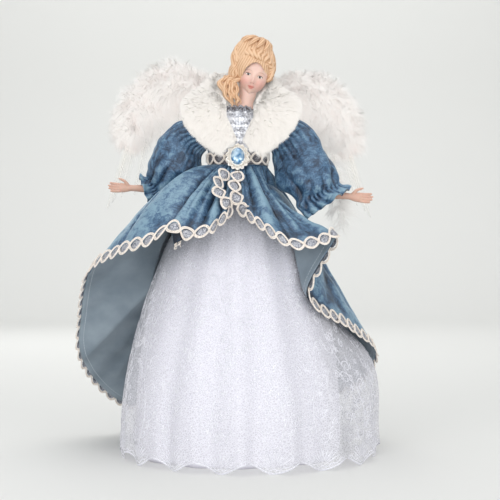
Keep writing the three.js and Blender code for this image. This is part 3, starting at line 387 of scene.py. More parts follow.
def satin_radius(angle, z):
    down = way_down(z)
    cone = CONE_FOOT + (CONE_TOP - CONE_FOOT) * z / CONE_HEIGHT
    bell = np.abs(np.sin(math.pi * down**0.7)) ** 0.8
    fold = 0.5 + 0.5 * np.cos(SATIN_FOLDS * angle + 1.3 * np.sin(3 * angle))
    return cone + CLOTH_GAP + SATIN_PUFF * bell + SATIN_FOLD_DEPTH * down * fold


def lace_puff(angle, down):
    """The billow of the lace half way down the doll's left side."""
    off = (angle - BILLOW_AT + math.pi) % TAU - math.pi
    level = ease(down, 0.5, 0.64) - ease(down, 0.64, 0.9)
    return BILLOW * level * np.exp(-((off / BILLOW_SPREAD) ** 2))


def lace_radius(angle, z):
    down = way_down(z)
    reach = LACE_STANDS_OFF + LACE_MORE_LEFT * np.sin(angle) + LACE_MORE_FRONT * np.cos(angle)
    start = 0.4 + 0.065 * np.sin(angle) - 0.085 * np.sin(angle) ** 2
    fold = 0.5 + 0.5 * np.cos(LACE_FOLDS * angle + 1.7 * np.sin(2 * angle))
    away = reach * ease((down - start) / (0.85 - start), 0, 1) + LACE_FOLD_DEPTH * down * fold
    return satin_radius(angle, z) + 1 + CLOTH_GAP + 1.5 * down + away + lace_puff(angle, down)


print("lace radius at the front of the hem:", round(float(lace_radius(0.0, 0.0)), 1), "mm")

# %% [markdown]
# ## Satin
# White polyester satin: long floats lie flat side by side, so it has a soft streaky shine across the
# threads. The threads are 0.2 mm, too fine to show, so the shine is painted as paler streaks 1.5 mm apart.

# %% Satin skirt
satin, tree, shader = new_material("white_polyester_satin", Roughness=0.42, Sheen_Weight=0.25)
place = add_node(tree, "ShaderNodeAttribute", attribute_name="weave_mm")
threads = add_node(tree, "ShaderNodeMapping", {"Vector": place.outputs["Vector"], "Scale": (0.7, 0.04, 1)})
streak = add_node(tree, "ShaderNodeTexNoise", {"Vector": threads.outputs["Vector"], "Scale": 1, "Detail": 3})
streaks = streak.outputs["Fac"]
# Painted shine: the streaks are paler and darker bands in the satin's colour.
SATIN_TINTS = [(0, "#c8c6d2"), (1, "#dcdbe2")]
add_node(tree, "ShaderNodeValToRGB", {"Fac": streaks}, SATIN_TINTS, (shader, "Base Color"))
height = {"Height": streaks, "Strength": 0.12, "Distance": 0.0004}
add_node(tree, "ShaderNodeBump", height, into=(shader, "Normal"))

SATIN_THICKNESS, MEAN_SKIRT_RADIUS, SATIN_GATHERS = 0.6, 95, 46
angles = round_angles(480)
drop = np.linspace(0, 1, 90)[:, None]
z = SKIRT_TOP * (1 - drop)
near_top = ease(drop, 0, 0.05) * (1 - ease(drop, 0.05, 0.5))
gather = np.cos(SATIN_GATHERS * angles + 2 * np.sin(5 * angles)) * 0.5 * near_top
grid = polar(angles, satin_radius(angles, z) + gather, z)
points, faces, layer = cloth_shell(grid, SATIN_THICKNESS, ring=True)
weave = np.tile(weave_place(angles * MEAN_SKIRT_RADIUS, z), (2, 1))
satin_skirt = mesh_piece("satin_skirt_cloth", points, faces, [satin, satin], "root", layer, weave_mm=weave)
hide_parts("satin_skirt")
declare_cloth(satin_skirt, grid, ring=True)

# %% [markdown]
# ## Lace
# The overskirt is white net with scrolls and sprays worked on it in shiny thread, and a fan in each
# scallop of its hem. The net is one thin sheet whose threads are drawn in its transparency, with
# 1.8 mm meshes, about twice the real ones, so that they show. The needlework is raised on the real
# lace, so here it is a layer of narrow strips of its own that follows the net. Lace this sheer hardly
# shades the satin under it, so neither layer throws a shadow.

# %% Net
SCALLOPS, SCALLOP_DEPTH, SCALLOP_TURN = 17, 9, math.radians(-6.6)


def lace_point(angle, share, lift=0.0):
    """A point on the lace: share 0 is its top and 1 its scalloped hem."""
    hem = SCALLOP_DEPTH * np.sin(SCALLOPS / 2 * (angle - SCALLOP_TURN)) ** 2
    z = SKIRT_TOP + (hem - SKIRT_TOP) * share
    frill = 1.6 * (1 + np.sin(2 * SCALLOPS * angle + 2 * np.sin(3 * angle))) * np.clip(share, 0, 1) ** 5
    return polar(angle, lace_radius(angle, z) + frill + lift, z)


NET_MESH_MM, MEAN_LACE_RADIUS = 1.8, 110
net, tree, shader = new_material("white_polyester_net", Roughness=0.6, Base_Color=srgb("#e2e2e8"))
place = add_node(tree, "ShaderNodeAttribute", attribute_name="weave_mm")
spacing = {"Vector": place.outputs["Vector"], "Scale": 1 / NET_MESH_MM}
meshes = add_node(tree, "ShaderNodeTexVoronoi", spacing, feature="DISTANCE_TO_EDGE")
cover = {"From Min": 0.05, "From Max": 0.18, "To Min": 0.66, "To Max": 0.34}
add_node(tree, "ShaderNodeMapRange", {"Value": meshes.outputs["Distance"], **cover}, into=(shader, "Alpha"))

NET_ROWS, NET_COLUMNS = 70, 680
angles = round_angles(NET_COLUMNS)
grid = lace_point(angles, np.linspace(0, 1, NET_ROWS)[:, None])
faces = grid_faces(NET_ROWS, NET_COLUMNS, ring=True, flip=True)
weave = weave_place(angles * MEAN_LACE_RADIUS, grid[..., 2])
lace_net = mesh_piece("lace_net_cloth", grid, faces, [net], "root", weave_mm=weave)
lace_net.visible_shadow = False
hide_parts("lace_overskirt")

# %% Needlework on the lace
# Painted glints: rayon thread catches the light where it turns, so its colour is paler about every millimetre.
needlework = mottled(
    "satin_stitch_rayon", "ShaderNodeTexNoise", {"Scale": 900, "Detail": 2},
    [(0.35, "#c9c9d1"), (0.62, "#e2e2e8")], Roughness=0.35, Sheen_Weight=0.3,
)  # fmt: skip

# Length of the lace from its top to its hem, and half the width of one repeat.
LACE_RUN, REPEAT_HALF = 272, 21.5


def scroll(centre, start, turn, size):
    """A curl that winds in on itself."""
    t = np.linspace(0, 1, 22)
    angle = start + turn * t * TAU * 1.35
    radius = size * (1 - 0.82 * t)
    return centre + np.stack([np.cos(angle), np.sin(angle)], axis=-1) * radius[:, None], 0.62 - 0.3 * t


def leaf(root, angle, length, width):
    """A stitched leaf, widest in its middle."""
    t = np.linspace(0, 1, 7)
    line = np.asarray(root) + np.outer(t * length, [math.cos(angle), math.sin(angle)])
    return line, width / 2 * np.sin(math.pi * (0.08 + 0.86 * t))


def needle_drawing(column):
    """The lines of one repeat: across and up in millimetres, each with its half widths."""
    rng = np.random.default_rng(400 + column)
    flip = 1 if column % 2 else -1
    t = np.linspace(-1, 1, 40)
    lines = [(np.stack([REPEAT_HALF * t, 0.9 + 0 * t], axis=-1), np.full(40, 0.9))]
    lines.append((np.stack([REPEAT_HALF * t, 4.2 + 0.9 * np.cos(18 * t)], axis=-1), np.full(40, 0.5)))
    for ray in np.linspace(-1.25, 1.25, 9):
        root = np.array([0, 6]) + 3.5 * np.array([math.sin(ray), math.cos(ray)])
        lines.append(leaf(root, math.pi / 2 - ray, 10.5, 1.6))
    rise = np.linspace(16, 176, 90)
    sway = lambda up: flip * 8.5 * np.sin((up - 16) / 21)
    lines.append((np.stack([sway(rise), rise], axis=-1), 0.5 - 0.25 * (rise - 16) / 160))
    for step, up in enumerate(np.arange(30, 172, 13.0)):
        hand = flip if step % 2 else -flip
        size = rng.uniform(6, 9) * (1.05 - up / 320)
        centre = np.array([sway(up) + hand * size * 1.05, up + rng.uniform(-2, 2)])
        lines.append(scroll(centre, math.pi if hand > 0 else 0, hand * rng.choice([-1, 1]), size))
        for spray in range(4):
            lean = math.pi / 2 - hand * rng.uniform(0.2, 1.6)
            root = centre + hand * np.array([size * 0.6, size * (spray - 1.5) * 0.5])
            lines.append(leaf(root, lean, rng.uniform(4, 6.5), 1.3))
        if step % 3 == 0:
            bloom = centre - np.array([hand * size * 2.1, -3])
            for petal in range(6):
                lines.append(leaf(bloom, petal * TAU / 6 + 0.3, 4.2, 1.6))
    for _ in range(26):
        curl = np.array([rng.uniform(-20, 20), rng.uniform(14, 190)])
        lines.append(scroll(curl, rng.uniform(0, TAU), rng.choice([-1, 1]), rng.uniform(2.2, 4.2)))
    for _ in range(120):
        spot = np.array([rng.uniform(-21, 21), 12 + 225 * rng.uniform(0, 1) ** 1.4])
        lines.append(leaf(spot, rng.uniform(0, TAU), 1.4, 1.0))
    return lines


strips = []
for column in range(SCALLOPS):
    centre = SCALLOP_TURN + column * TAU / SCALLOPS
    for line, half in needle_drawing(column):
        cross = unit(np.gradient(line, axis=0)) @ np.array([[0, 1], [-1, 0]])
        edges = np.stack([line - cross * half[:, None], line, line + cross * half[:, None]], axis=1)
        share = 1 - edges[..., 1] / LACE_RUN
        angle = centre + edges[..., 0] / lace_radius(centre, SKIRT_TOP * (1 - share))
        lift = np.array([0.25, 0.6, 0.25])
        strips.append((lace_point(angle, share, lift), grid_faces(len(line), 3)))
points, faces = merge(*strips)
lace_work = mesh_piece("lace_needlework", points, faces, [needlework], "root")
lace_work.visible_shadow = False
declare_cloth(lace_net, grid, ring=True)
print("needlework strips:", len(strips))

# %% [markdown]
# ## Crushed velvet and its lining
# Crushed velvet is cut pile pressed in many directions, so patches of one cloth look pale or nearly
# black. The patches are noise of about 8 mm, with a finer speckle of 1.4 mm, and a sheen stands for
# the light that the upright pile catches at its edges. Light and shade on the folds are painted into
# the colour as well: each ridge is painted paler and greyer and each valley darker; each cloth carries
# that as a value of its own. The reverse is a plain woven lining with a line of stitches 6 mm from its edge.

# %% Velvet and lining
velvet, tree, shader = new_material(
    "crushed_polyester_velvet", Roughness=0.45, Sheen_Weight=0.6, Sheen_Roughness=0.3, Sheen_Tint=srgb("#a9c6d8")
)
place = add_node(tree, "ShaderNodeTexCoord").outputs["Object"]
crush = {"Scale": 1 / 0.008, "Detail": 5, "Roughness": 0.62, "Distortion": 0.9}
patches = add_node(tree, "ShaderNodeTexNoise", {"Vector": place, **crush}).outputs["Fac"]
speckle = add_node(tree, "ShaderNodeTexNoise", {"Vector": place, "Scale": 1 / 0.0014, "Detail": 2}).outputs["Fac"]
pile = add_node(tree, "ShaderNodeMath", {0: speckle, 1: 0.34, 2: patches}, operation="MULTIPLY_ADD").outputs["Value"]
# Painted fold shading: ridges paler and greyer, valleys darker.
fold_shading = add_node(tree, "ShaderNodeAttribute", attribute_name="worn").outputs["Fac"]
pile_and_fold_shading = add_node(tree, "ShaderNodeMath", {0: fold_shading, 1: 0.6, 2: pile}, operation="MULTIPLY_ADD").outputs["Value"]
VELVET_TINTS = [(0.4, "#101a2a"), (0.58, "#263c54"), (0.74, "#426280"), (0.95, "#7896a8")]
add_node(tree, "ShaderNodeValToRGB", {"Fac": pile_and_fold_shading}, VELVET_TINTS, (shader, "Base Color"))
height = {"Height": pile, "Strength": 0.35, "Distance": 0.0012}
add_node(tree, "ShaderNodeBump", height, into=(shader, "Normal"))

# Millimetres from the edge to the stitches, half a stitch's thickness, and from stitch to stitch.
STITCHES_IN, STITCH_HALF, STITCH_PITCH = 6.0, 0.45, 3.2
lining, tree, shader = new_material("woven_polyester_lining", Roughness=0.7, Sheen_Weight=0.15)
place = add_node(tree, "ShaderNodeTexCoord").outputs["Object"]
cloud = add_node(tree, "ShaderNodeTexNoise", {"Vector": place, "Scale": 1 / 0.03, "Detail": 4}).outputs["Fac"]
shade = add_node(tree, "ShaderNodeValToRGB", {"Fac": cloud}, [(0.3, "#6f7d88"), (0.75, "#8f9ca6")]).outputs["Color"]
edge = add_node(tree, "ShaderNodeAttribute", attribute_name="edge_mm").outputs["Fac"]
along = add_node(tree, "ShaderNodeAttribute", attribute_name="along_mm").outputs["Fac"]
on_line = {0: edge, 1: STITCHES_IN, 2: STITCH_HALF}
sewn = add_node(tree, "ShaderNodeMath", on_line, operation="COMPARE").outputs["Value"]
stitch = along
for other, operation in ((1 / STITCH_PITCH, "MULTIPLY"), (0, "FRACT"), (0.72, "LESS_THAN"), (sewn, "MULTIPLY")):
    stitch = add_node(tree, "ShaderNodeMath", {0: stitch, 1: other}, operation=operation).outputs["Value"]
mixed = {"Factor": stitch, "A": shade, "B": srgb("#a9b4bc")}
colour = add_node(tree, "ShaderNodeMix", mixed, data_type="RGBA")
tree.links.new(colour.outputs["Result"], shader.inputs["Base Color"])
weave = add_node(tree, "ShaderNodeTexNoise", {"Vector": place, "Scale": 1 / 0.0008, "Detail": 1})
height = {"Height": weave.outputs["Fac"], "Strength": 0.2, "Distance": 0.0004}
add_node(tree, "ShaderNodeBump", height, into=(shader, "Normal"))


def worn(grid, reach, depth, ring=False):
    """Painted fold shading: 0.5 on a ridge and -0.5 in a valley, from how far a point stands out from the mean of
    its row.
    """
    columns = np.arange(grid.shape[1])[:, None] + np.arange(-reach, reach + 1)
    columns = columns % grid.shape[1] if ring else np.clip(columns, 0, grid.shape[1] - 1)
    proud = ((grid - grid[:, columns].mean(axis=2)) * grid_normals(grid, ring)).sum(-1)
    return ease(proud / depth, -1, 1) - 0.5


print("velvet and lining ready")

# %% [markdown]
# ## Coat skirt
# The coat is cut short in front and long behind, and gathered into the waist. Its hem is a smooth
# line through stations all round the doll. Every point below the waist then swings out from the
# waist to that hem, with pleats that are deepest half way down, and it never goes inside the lace.

# %% Coat skirt
# Angle at the waist, then angle, radius and height of the hem, from the left front edge round the back.
COAT_STATIONS = np.array([
    [3, 5, 74, 232], [13, 13, 96, 219], [24, 21, 113, 206], [33, 27, 124, 200], [43, 36, 129, 205],
    [53, 45, 125, 208], [64, 41, 98, 154], [80, 72, 108, 127], [96, 95, 132, 104], [112, 108, 143, 86],
    [130, 129, 150, 55], [155, 154, 142, 36], [180, 180, 140, 30], [205, 205, 150, 28], [225, 225, 163, 32],
    [240, 238, 171, 55], [252, 251, 171, 95], [262, 261, 158, 135], [273, 273, 148, 164], [288, 289, 141, 183],
    [303, 306, 132, 196], [318, 322, 124, 206], [330, 331, 119, 217], [338, 338, 116, 210], [345, 345, 110, 213],
    [349, 350, 96, 221], [356, 355, 74, 235],
], float)  # fmt: skip
COAT_TOP, COAT_WAIST = 278.7, 27.8
VELVET, BROAD_PLEAT, NARROW_PLEAT = 0.9, 6.0, 2.4


def on_lace(angle, z):
    """The least radius of a coat that lies on the lace."""
    return np.where(z < SKIRT_TOP, lace_radius(angle, z) + 0.8 + DRAPE_GAP, 0)


def coat_point(u, v):
    """A point on the inside of the coat: u along the hem, v from the waist down."""
    u, v = np.broadcast_arrays(u, v)
    waist = spline(COAT_STATIONS[:, :1], u)[..., 0]
    hem_angle, hem_radius, hem_z = np.moveaxis(spline(COAT_STATIONS[:, 1:], u), -1, 0)
    angle = np.radians(waist + (hem_angle - waist) * v)
    z = COAT_TOP + (hem_z - COAT_TOP) * v
    arm = np.exp(-(((waist - 56) / 22) ** 2)) + np.exp(-(((waist - 260) / 20) ** 2))
    swing = v ** (0.95 + 1.3 * arm - 0.45 * np.exp(-(((waist - 302) / 20) ** 2)))
    turn = 15 * u + 0.09 * np.sin(TAU * 5.3 * u)
    broad = 2 * np.abs(np.cos(math.pi * turn)) ** 0.8 - 1
    narrow = np.cos(TAU * (31 * u + 0.3 * np.sin(TAU * 7 * u)))
    calm = 1 - 0.75 * ease(v, 0.35, 0.75) * ease(u, 0.4, 0.5) * (1 - ease(u, 0.7, 0.78))
    calm = calm - 0.7 * ease(v, 0.3, 0.6) * ease(u, 0.2, 0.25) * (1 - ease(u, 0.34, 0.4))
    calm = calm * (1 - 0.6 * arm * (1 - ease(v, 0.4, 0.7)))
    pleat = np.sin(math.pi * v**0.8) ** 0.8 * calm * (BROAD_PLEAT * broad + NARROW_PLEAT * narrow)
    pleat = pleat + 0.9 * narrow * np.exp(-v / 0.12)
    free = COAT_WAIST + (hem_radius - COAT_WAIST) * swing + pleat * ease(hem_radius, 40, 100) * ease(v, 0, 0.06)
    return polar(angle, np.maximum(free, on_lace(angle, z)), z)


COAT_COLUMNS, COAT_ROWS = 520, 72
CREASE_DEPTH, CREASE_SPREAD = 5, 11
coat_u, coat_v = np.linspace(0, 1, COAT_COLUMNS), np.linspace(0, 1, COAT_ROWS)[:, None]
coat_grid = coat_point(coat_u, coat_v)
away = 0.5 * ripple(coat_grid, 24, 11) * ease(coat_v, 0.1, 0.4)
# One sharp crease runs aslant over the long side at the doll's right, where the cloth was folded.
from_crease = (coat_grid[..., 0] - coat_grid[..., 2] + 248) / math.sqrt(2)
on_long_side = ease(coat_u, 0.5, 0.56) * (1 - ease(coat_u, 0.68, 0.74)) * ease(coat_v, 0.45, 0.6)
away -= CREASE_DEPTH * np.exp(-np.abs(from_crease) / CREASE_SPREAD) * on_long_side
coat_grid += grid_normals(coat_grid) * away[..., None]
# The creased cloth still lies on the lace.
x, y, z = np.moveaxis(coat_grid, -1, 0)
coat_grid[..., :2] *= np.maximum(1, on_lace(np.arctan2(x, -y), z) / np.hypot(x, y))[..., None]
points, faces, layer = cloth_shell(coat_grid, VELVET)


def pleat_return(down, across):
    """The corner of one pleat that turns back behind the hem at the doll's right and hangs below it."""
    angle = np.radians(-31 + 7.5 * across + 1.2 * down * (0.5 - across))
    radius = 114.5 - 3 * down + 1.5 * np.sin(3 * across)
    return polar(angle, radius, 218 - (16.5 - 6.5 * across) * down)


corner = pleat_return(np.linspace(0, 1, 9)[:, None], np.linspace(0, 1, 10))
corner_points, corner_faces, corner_layer = cloth_shell(corner, VELVET)
rest = len(corner_points)

# Cloth without a sewn edge carries a distance that no stitch has.
NO_EDGE = 40.0
to_hem = np.cumsum(step_lengths(coat_grid)[::-1], axis=0)[::-1]
to_hem = np.concatenate([to_hem, np.zeros((1, COAT_COLUMNS))])
from_left = np.cumsum(step_lengths(coat_grid, 1), axis=1)
from_left = np.concatenate([np.zeros((COAT_ROWS, 1)), from_left], axis=1)
to_front = np.minimum(from_left, from_left[:, -1:] - from_left)
edge_mm = np.minimum(to_hem, to_front).ravel()
along_mm = np.where(to_hem < to_front, from_left[-1], to_hem).ravel()
points, faces = merge((points, faces), (corner_points, corner_faces))
coat_skirt = mesh_piece(
    "coat_skirt_cloth", points, faces, [velvet, lining], "root", np.concatenate([layer, corner_layer]),
    edge_mm=np.append(np.tile(edge_mm, 2), np.full(rest, NO_EDGE)),
    along_mm=np.append(np.tile(along_mm, 2), np.zeros(rest)),
    # The corner of the folded pleat is painted in full valley shade, as it hangs in shadow; the rest carries painted
    # fold shading.
    worn=np.append(np.tile(worn(coat_grid, 16, 4.0).ravel(), 2), np.full(rest, -0.5)),
)  # fmt: skip
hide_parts("coat_skirt")
declare_cloth(coat_skirt, coat_grid)

# %% [markdown]
# ## Body line and coat bodice
# The bodice follows the body inside it: a waist, a chest and shoulders, each an ellipse at its own
# height. The coat's bodice is open in front, where the fur covers its edges.

# %% Coat bodice
BODY_Z = [262.3, 291, 306, 318, 334, 341]
BODY_HALF_WIDTH = [26, 26, 30, 30, 12.5, 7.6]
BODY_HALF_DEPTH = [26, 26, 21, 17, 11, 7.6]


def body_point(angle, z, away):
    wide = np.interp(z, BODY_Z, BODY_HALF_WIDTH) + away
    deep = np.interp(z, BODY_Z, BODY_HALF_DEPTH) + away
    angle, z, wide, deep = np.broadcast_arrays(angle, z, wide, deep)
    return np.stack([wide * np.sin(angle), -deep * np.cos(angle), z], axis=-1)


BODICE_TOP, BODICE_FOOT, BODICE_THICKNESS = 333.7, 279.2, 1.1
z = np.linspace(BODICE_TOP, BODICE_FOOT, 60)[:, None]
opening = 38 + 36 * ease(z, 315, 333)
angles = np.radians(opening + (360 - 2 * opening) * np.linspace(0, 1, 220))
pucker = 0.35 * np.cos(60 * angles) * np.exp(-((z - 279) / 7))
grid = body_point(angles, z, 1.8 + pucker * 0.5)
points, faces, layer = cloth_shell(grid, BODICE_THICKNESS)
coat_bodice = mesh_piece(
    "coat_bodice_cloth", points, faces, [velvet, lining], "root", layer,
    # The bodice is painted with a little fold shade all over.
    edge_mm=np.full(len(points), NO_EDGE), along_mm=np.zeros(len(points)), worn=np.full(len(points), -0.1),
)  # fmt: skip
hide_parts("coat_bodice")
declare_cloth(coat_bodice, grid)

# %% [markdown]
# ## Sleeves
# Each sleeve is a full tube of velvet, gathered at the armhole and again by elastic above the cuff,
# where the loose end stands out as a ruffle. It is swept through stations from the shoulder to the
# ruffle's edge; gathers, flutes and soft creases are then added along its outward direction. It is
# sewn to the bodice at the armhole.

# %% Sleeves
WAIST = 285
ELASTIC_AT, SLEEVE_THICKNESS, BODICE_CLEAR = 0.8, 0.7, 4.2
# Distance out, y, height above the waist, tilt of the long axis in degrees, half length, half depth.
SLEEVES = {
    "right": (-1, [[27, 0, 26, 0, 11, 10], [51, 1, 19.5, 38, 19, 14], [62.4, 0, -2, 53, 22, 22],
                   [73.4, 4, -22.5, 48, 19, 19], [80, 5, -30, 36, 15, 10], [90, 5, -34.5, 20, 18.5, 13]]),
    "left": (1, [[27, 0, 26, 0, 11, 10], [51, -3, 21, 40, 20, 14], [65, -18, -6, 55, 22, 21],
                 [74, -31, -25, 60, 22.5, 18.5], [76, -37, -37, 60, 22, 11], [86, -40, -44, 55, 23, 13]]),
}  # fmt: skip


def sleeve_point(side, stations, u, v, away=0.0):
    """A point of the sleeve: u round it, v from the armhole to the ruffle's edge."""
    u, v, away = np.broadcast_arrays(u, v, away)
    out, y, rise, tilt, half_long, half_deep = np.moveaxis(spline(stations, v), -1, 0)
    lean = np.radians(tilt)
    flute = 1 + 0.09 * np.cos(5 * TAU * u) * ease(v, 0.6, 1)
    sag = 10 * np.clip(-np.cos(TAU * u), 0, 1) ** 1.5 * np.exp(-(((v - 0.37) / 0.18) ** 2))
    first = (half_long * flute + away + sag) * np.cos(TAU * u)
    second = (half_deep * flute + away) * np.sin(TAU * u) * side
    return np.stack([side * (out + np.sin(lean) * first), y + second, WAIST + rise + np.cos(lean) * first], axis=-1)


def clear_of_body(points, side):
    """Moves what would be inside the coat's bodice out to its side."""
    wide = np.interp(points[..., 2], BODY_Z, BODY_HALF_WIDTH) + BODICE_CLEAR
    deep = np.interp(points[..., 2], BODY_Z, BODY_HALF_DEPTH) + BODICE_CLEAR
    edge = wide * np.sqrt(np.clip(1 - (points[..., 1] / deep) ** 2, 0, 1))
    points[..., 0] = side * np.maximum(side * points[..., 0], edge)
    return points


for name, (side, stations) in SLEEVES.items():
    u = np.arange(240) / 240
    v = np.linspace(0.02, 1, 130)[:, None]
    grid = sleeve_point(side, stations, u, v)
    puff = ease(v, 0.1, 0.3) * (1 - ease(v, 0.66, 0.8))
    elastic = np.exp(-(((v - ELASTIC_AT) / 0.07) ** 2))
    ruffle = ease(v, 0.82, 1)
    pull = 6 * u + 0.6 * np.sin(TAU * (u + 0.3 * side)) + 0.5 * v + 0.18 * ripple(grid, 40, 23 + side)
    drag = 5.0 * np.abs(np.cos(math.pi * pull)) ** 0.75 - 3.2
    drag = drag * np.clip(0.6 + 0.5 * ripple(grid, 38, 33 + side), 0.05, 1.2)
    fold = (
        0.9 * np.cos(24 * TAU * u + 2 * np.sin(3 * TAU * u)) * (1 - ease(v, 0.06, 0.4))
        + 1.0 * np.cos(26 * TAU * u + 2 * np.sin(4 * TAU * u)) * elastic
        + 2.4 * np.cos(11 * TAU * u + 1.5 * np.sin(3 * TAU * u)) * ruffle
        + puff * (1.3 * ripple(grid, 30, 21 + side) + 0.5 * ripple(grid, 12, 25 + side))
        + puff * drag * (0.2 + 0.8 * ease(v, 0.38, 0.66))
        + 0.7 * ruffle * ripple(grid, 6, 29 + side)
    )
    grid = clear_of_body(grid + grid_normals(grid, ring=True) * fold[..., None], side)
    # Painted fold shading: ridges paler and valleys darker, and the ruffle painted paler all over.
    fold_shading = 0.75 * worn(grid, 14, 2.6, ring=True) - 0.08 + 0.3 * ruffle
    points, faces, layer = cloth_shell(grid, SLEEVE_THICKNESS, ring=True)
    sleeve = mesh_piece(
        f"{name}_sleeve_cloth", points, faces, [velvet, lining], None, layer,
        edge_mm=np.full(len(points), NO_EDGE), along_mm=np.zeros(len(points)), worn=np.tile(fold_shading.ravel(), 2),
    )  # fmt: skip
    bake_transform(sleeve)
    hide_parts(f"{name}_sleeve")
    declare_cloth(sleeve, grid, ring=True)

# %% [markdown]
# ## Cuff elastics and arm wadding
# Inside each sleeve a ring of knitted elastic pinches the velvet, and wadding is wound round the arm
# wire to keep the sleeve full. Both show a little from below, past the ruffle.

# %% Cuff elastics and arm wadding
# Knitted elastic has even ribs, and wadding is a matt tangle of fibres in clumps of about 3 mm.
elastic_knit = mottled(
    "knitted_elastic", "ShaderNodeTexWave", {"Scale": 1 / 0.0012 / 20, "Distortion": 1},
    [(0, "#d5d5d5"), (1, "#f4f4f4")], Roughness=0.85,
)  # fmt: skip
wadding = mottled(
    "polyester_wadding", "ShaderNodeTexNoise", {"Scale": 1 / 0.003, "Detail": 6},
    [(0, "#dcdad4"), (1, "#f5f4f0")], (0.6, 0.002), Roughness=0.95, Sheen_Weight=0.3,
)  # fmt: skip

WRIST_BENDS = {"right": (-80, 5, 257), "left": (81, -37, 250.5)}
ARM_PIVOT, ARM_PIVOT_Z = 38, 312


def arm_line(name, share):
    """The bent wire from the shoulder to the top of the forearm."""
    side, stations = SLEEVES[name]
    elbow, cuff = (np.array([side * s[0], s[1], WAIST + s[2]]) for s in stations[2:4])
    knee = elbow + (cuff - elbow) * 0.3
    bend = np.array(WRIST_BENDS[name], float)
    end = bend + unit(knee - bend) * 4.3
    return spline([(side * ARM_PIVOT, 0, ARM_PIVOT_Z), knee, end], share, 0.5)


for name, (side, stations) in SLEEVES.items():
    u = np.arange(200) / 200
    v = ELASTIC_AT + np.linspace(-0.012, 0.012, 7)[:, None]
    grid = sleeve_point(side, stations, u, v, -2.6 + 0.25 * np.cos(90 * TAU * u))
    points, faces, layer = cloth_shell(grid, 0.8, ring=True)
    ring = mesh_piece(f"{name}_elastic_ring", points, faces, [elastic_knit, elastic_knit], f"{name}_arm", layer)
    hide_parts(f"{name}_cuff_elastic")

    share = np.linspace(0.13, 0.87, 60)
    line = arm_line(name, share)
    points, faces = tube(line, np.linspace(6.1, 4.1, 60), sides=40, up=(0, 1, 0))
    wound = 0.5 * np.sin(np.repeat(share, 40) * 90 + np.tile(round_angles(40), 60))
    centre = np.repeat(line, 40, axis=0)
    points = points + unit(points - centre) * (wound + 0.4 * ripple(points, 7, 31))[:, None]
    roll = mesh_piece(f"{name}_wadding_roll", points, faces, [wadding], f"{name}_arm")
    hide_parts(f"{name}_arm_padding")
print("elastics and wadding made")

# %% [markdown]
# ## Loop braid
# The trim is a loop braid: two pairs of cream cords cross each other every 14 mm and open into ovals,
# and a pad of silver yarn sits in each oval. It is drawn once as a straight strip, by distance along,
# across and up, and then laid along the coat's edge or round the waist.

# %% Braid forms
# Viscose cord has a soft shine; the shade in the grooves of its twist, about 1 mm apart, is painted into its colour
# as darker patches.
cream_cord = mottled(
    "twisted_viscose_cord", "ShaderNodeTexNoise", {"Scale": 1 / 0.0011, "Detail": 3},
    [(0.3, "#d6c8ba"), (0.65, "#f7f0e8")], (0.5, 0.0006), Roughness=0.5, Sheen_Weight=0.3,
)  # fmt: skip


def metal_film_yarn(name, bright, dull):
    """Yarn wound with a metal film, with painted glints about 1 mm apart and duller gaps between them."""
    return mottled(
        name, "ShaderNodeTexVoronoi", {"Scale": 1 / 0.0009}, [(0, bright), (0.7, dull)], (0.8, 0.0008),
        output="Distance", Metallic=0.55, Roughness=0.36,
    )  # fmt: skip


silver_yarn = metal_film_yarn("knitted_silver_film_yarn", "#f0f1f6", "#7f828d")
smoked_yarn = metal_film_yarn("knitted_smoke_grey_film_yarn", "#b9b8bd", "#4c4a50")
# Size and height of the rings of a yarn pad, from its foot to its top.
PAD_RINGS = ((1.0, 0.0), (0.95, 0.9), (0.6, 1.6), (0.06, 1.8))


def loop_braid(length, pitch, half_width, cord):
    """Points by distance along, across and up, with the faces of the cords and then of the pads."""
    ovals = max(1, round(length / pitch))
    along = np.linspace(0, length, ovals * 15 + 1)
    phase = math.pi * along * ovals / length
    cords = []
    for strand in (1, -1):
        swing = half_width * np.sign(np.sin(phase)) * np.abs(np.sin(phase)) ** 0.72
        line = np.stack([along, strand * swing, cord * (1.6 + 0.8 * strand * np.cos(phase))], axis=-1)
        side = unit(np.gradient(line, axis=0)[:, :2]) @ np.array([[0, 1], [-1, 0]])
        for offset in (-1.05, 1.05):
            shifted = line.copy()
            shifted[:, :2] += side * offset * cord
            cords.append(tube(shifted, cord, sides=6))
    turn = round_angles(12)
    outline = np.stack([0.36 * pitch * np.cos(turn), 0.74 * half_width * np.sin(turn), 0 * turn], axis=-1)
    pad = np.concatenate([outline * size + [0, 0, cord * rise] for size, rise in PAD_RINGS])
    pad_faces = grid_faces(len(PAD_RINGS), 12, ring=True, flip=True)
    pads = [(pad + [(oval + 0.5) * length / ovals, 0, 0], pad_faces) for oval in range(ovals)]
    cord_points, cord_faces = merge(*cords)
    points, faces = merge((cord_points, cord_faces), *pads)
    return points, faces, [0] * len(cord_faces) + [1] * (len(faces) - len(cord_faces))


def lay_along(strip, path, across, outward):
    """Bends a straight strip along a path with its own across and outward directions."""
    run = np.append(0, np.cumsum(step_lengths(path)))
    at, side, out = (between(strip[:, 0], run, line) for line in (path, across, outward))
    return at + unit(side) * strip[:, 1:2] + unit(out) * strip[:, 2:3]


def path_length(path):
    return float(step_lengths(path).sum())


print("braid forms ready")

# %% Coat braid
BRAID_START = 0.18
COAT_BRAID = {"pitch": 14, "half_width": 5.8, "cord": 0.56}


def soften(line, width):
    """A running mean along a line, with its ends held."""
    padded = np.concatenate([np.repeat(line[:1], width, axis=0), line, np.repeat(line[-1:], width, axis=0)])
    kernel = np.ones(2 * width + 1) / (2 * width + 1)
    return np.stack([np.convolve(padded[:, k], kernel, "valid") for k in range(line.shape[1])], axis=-1)


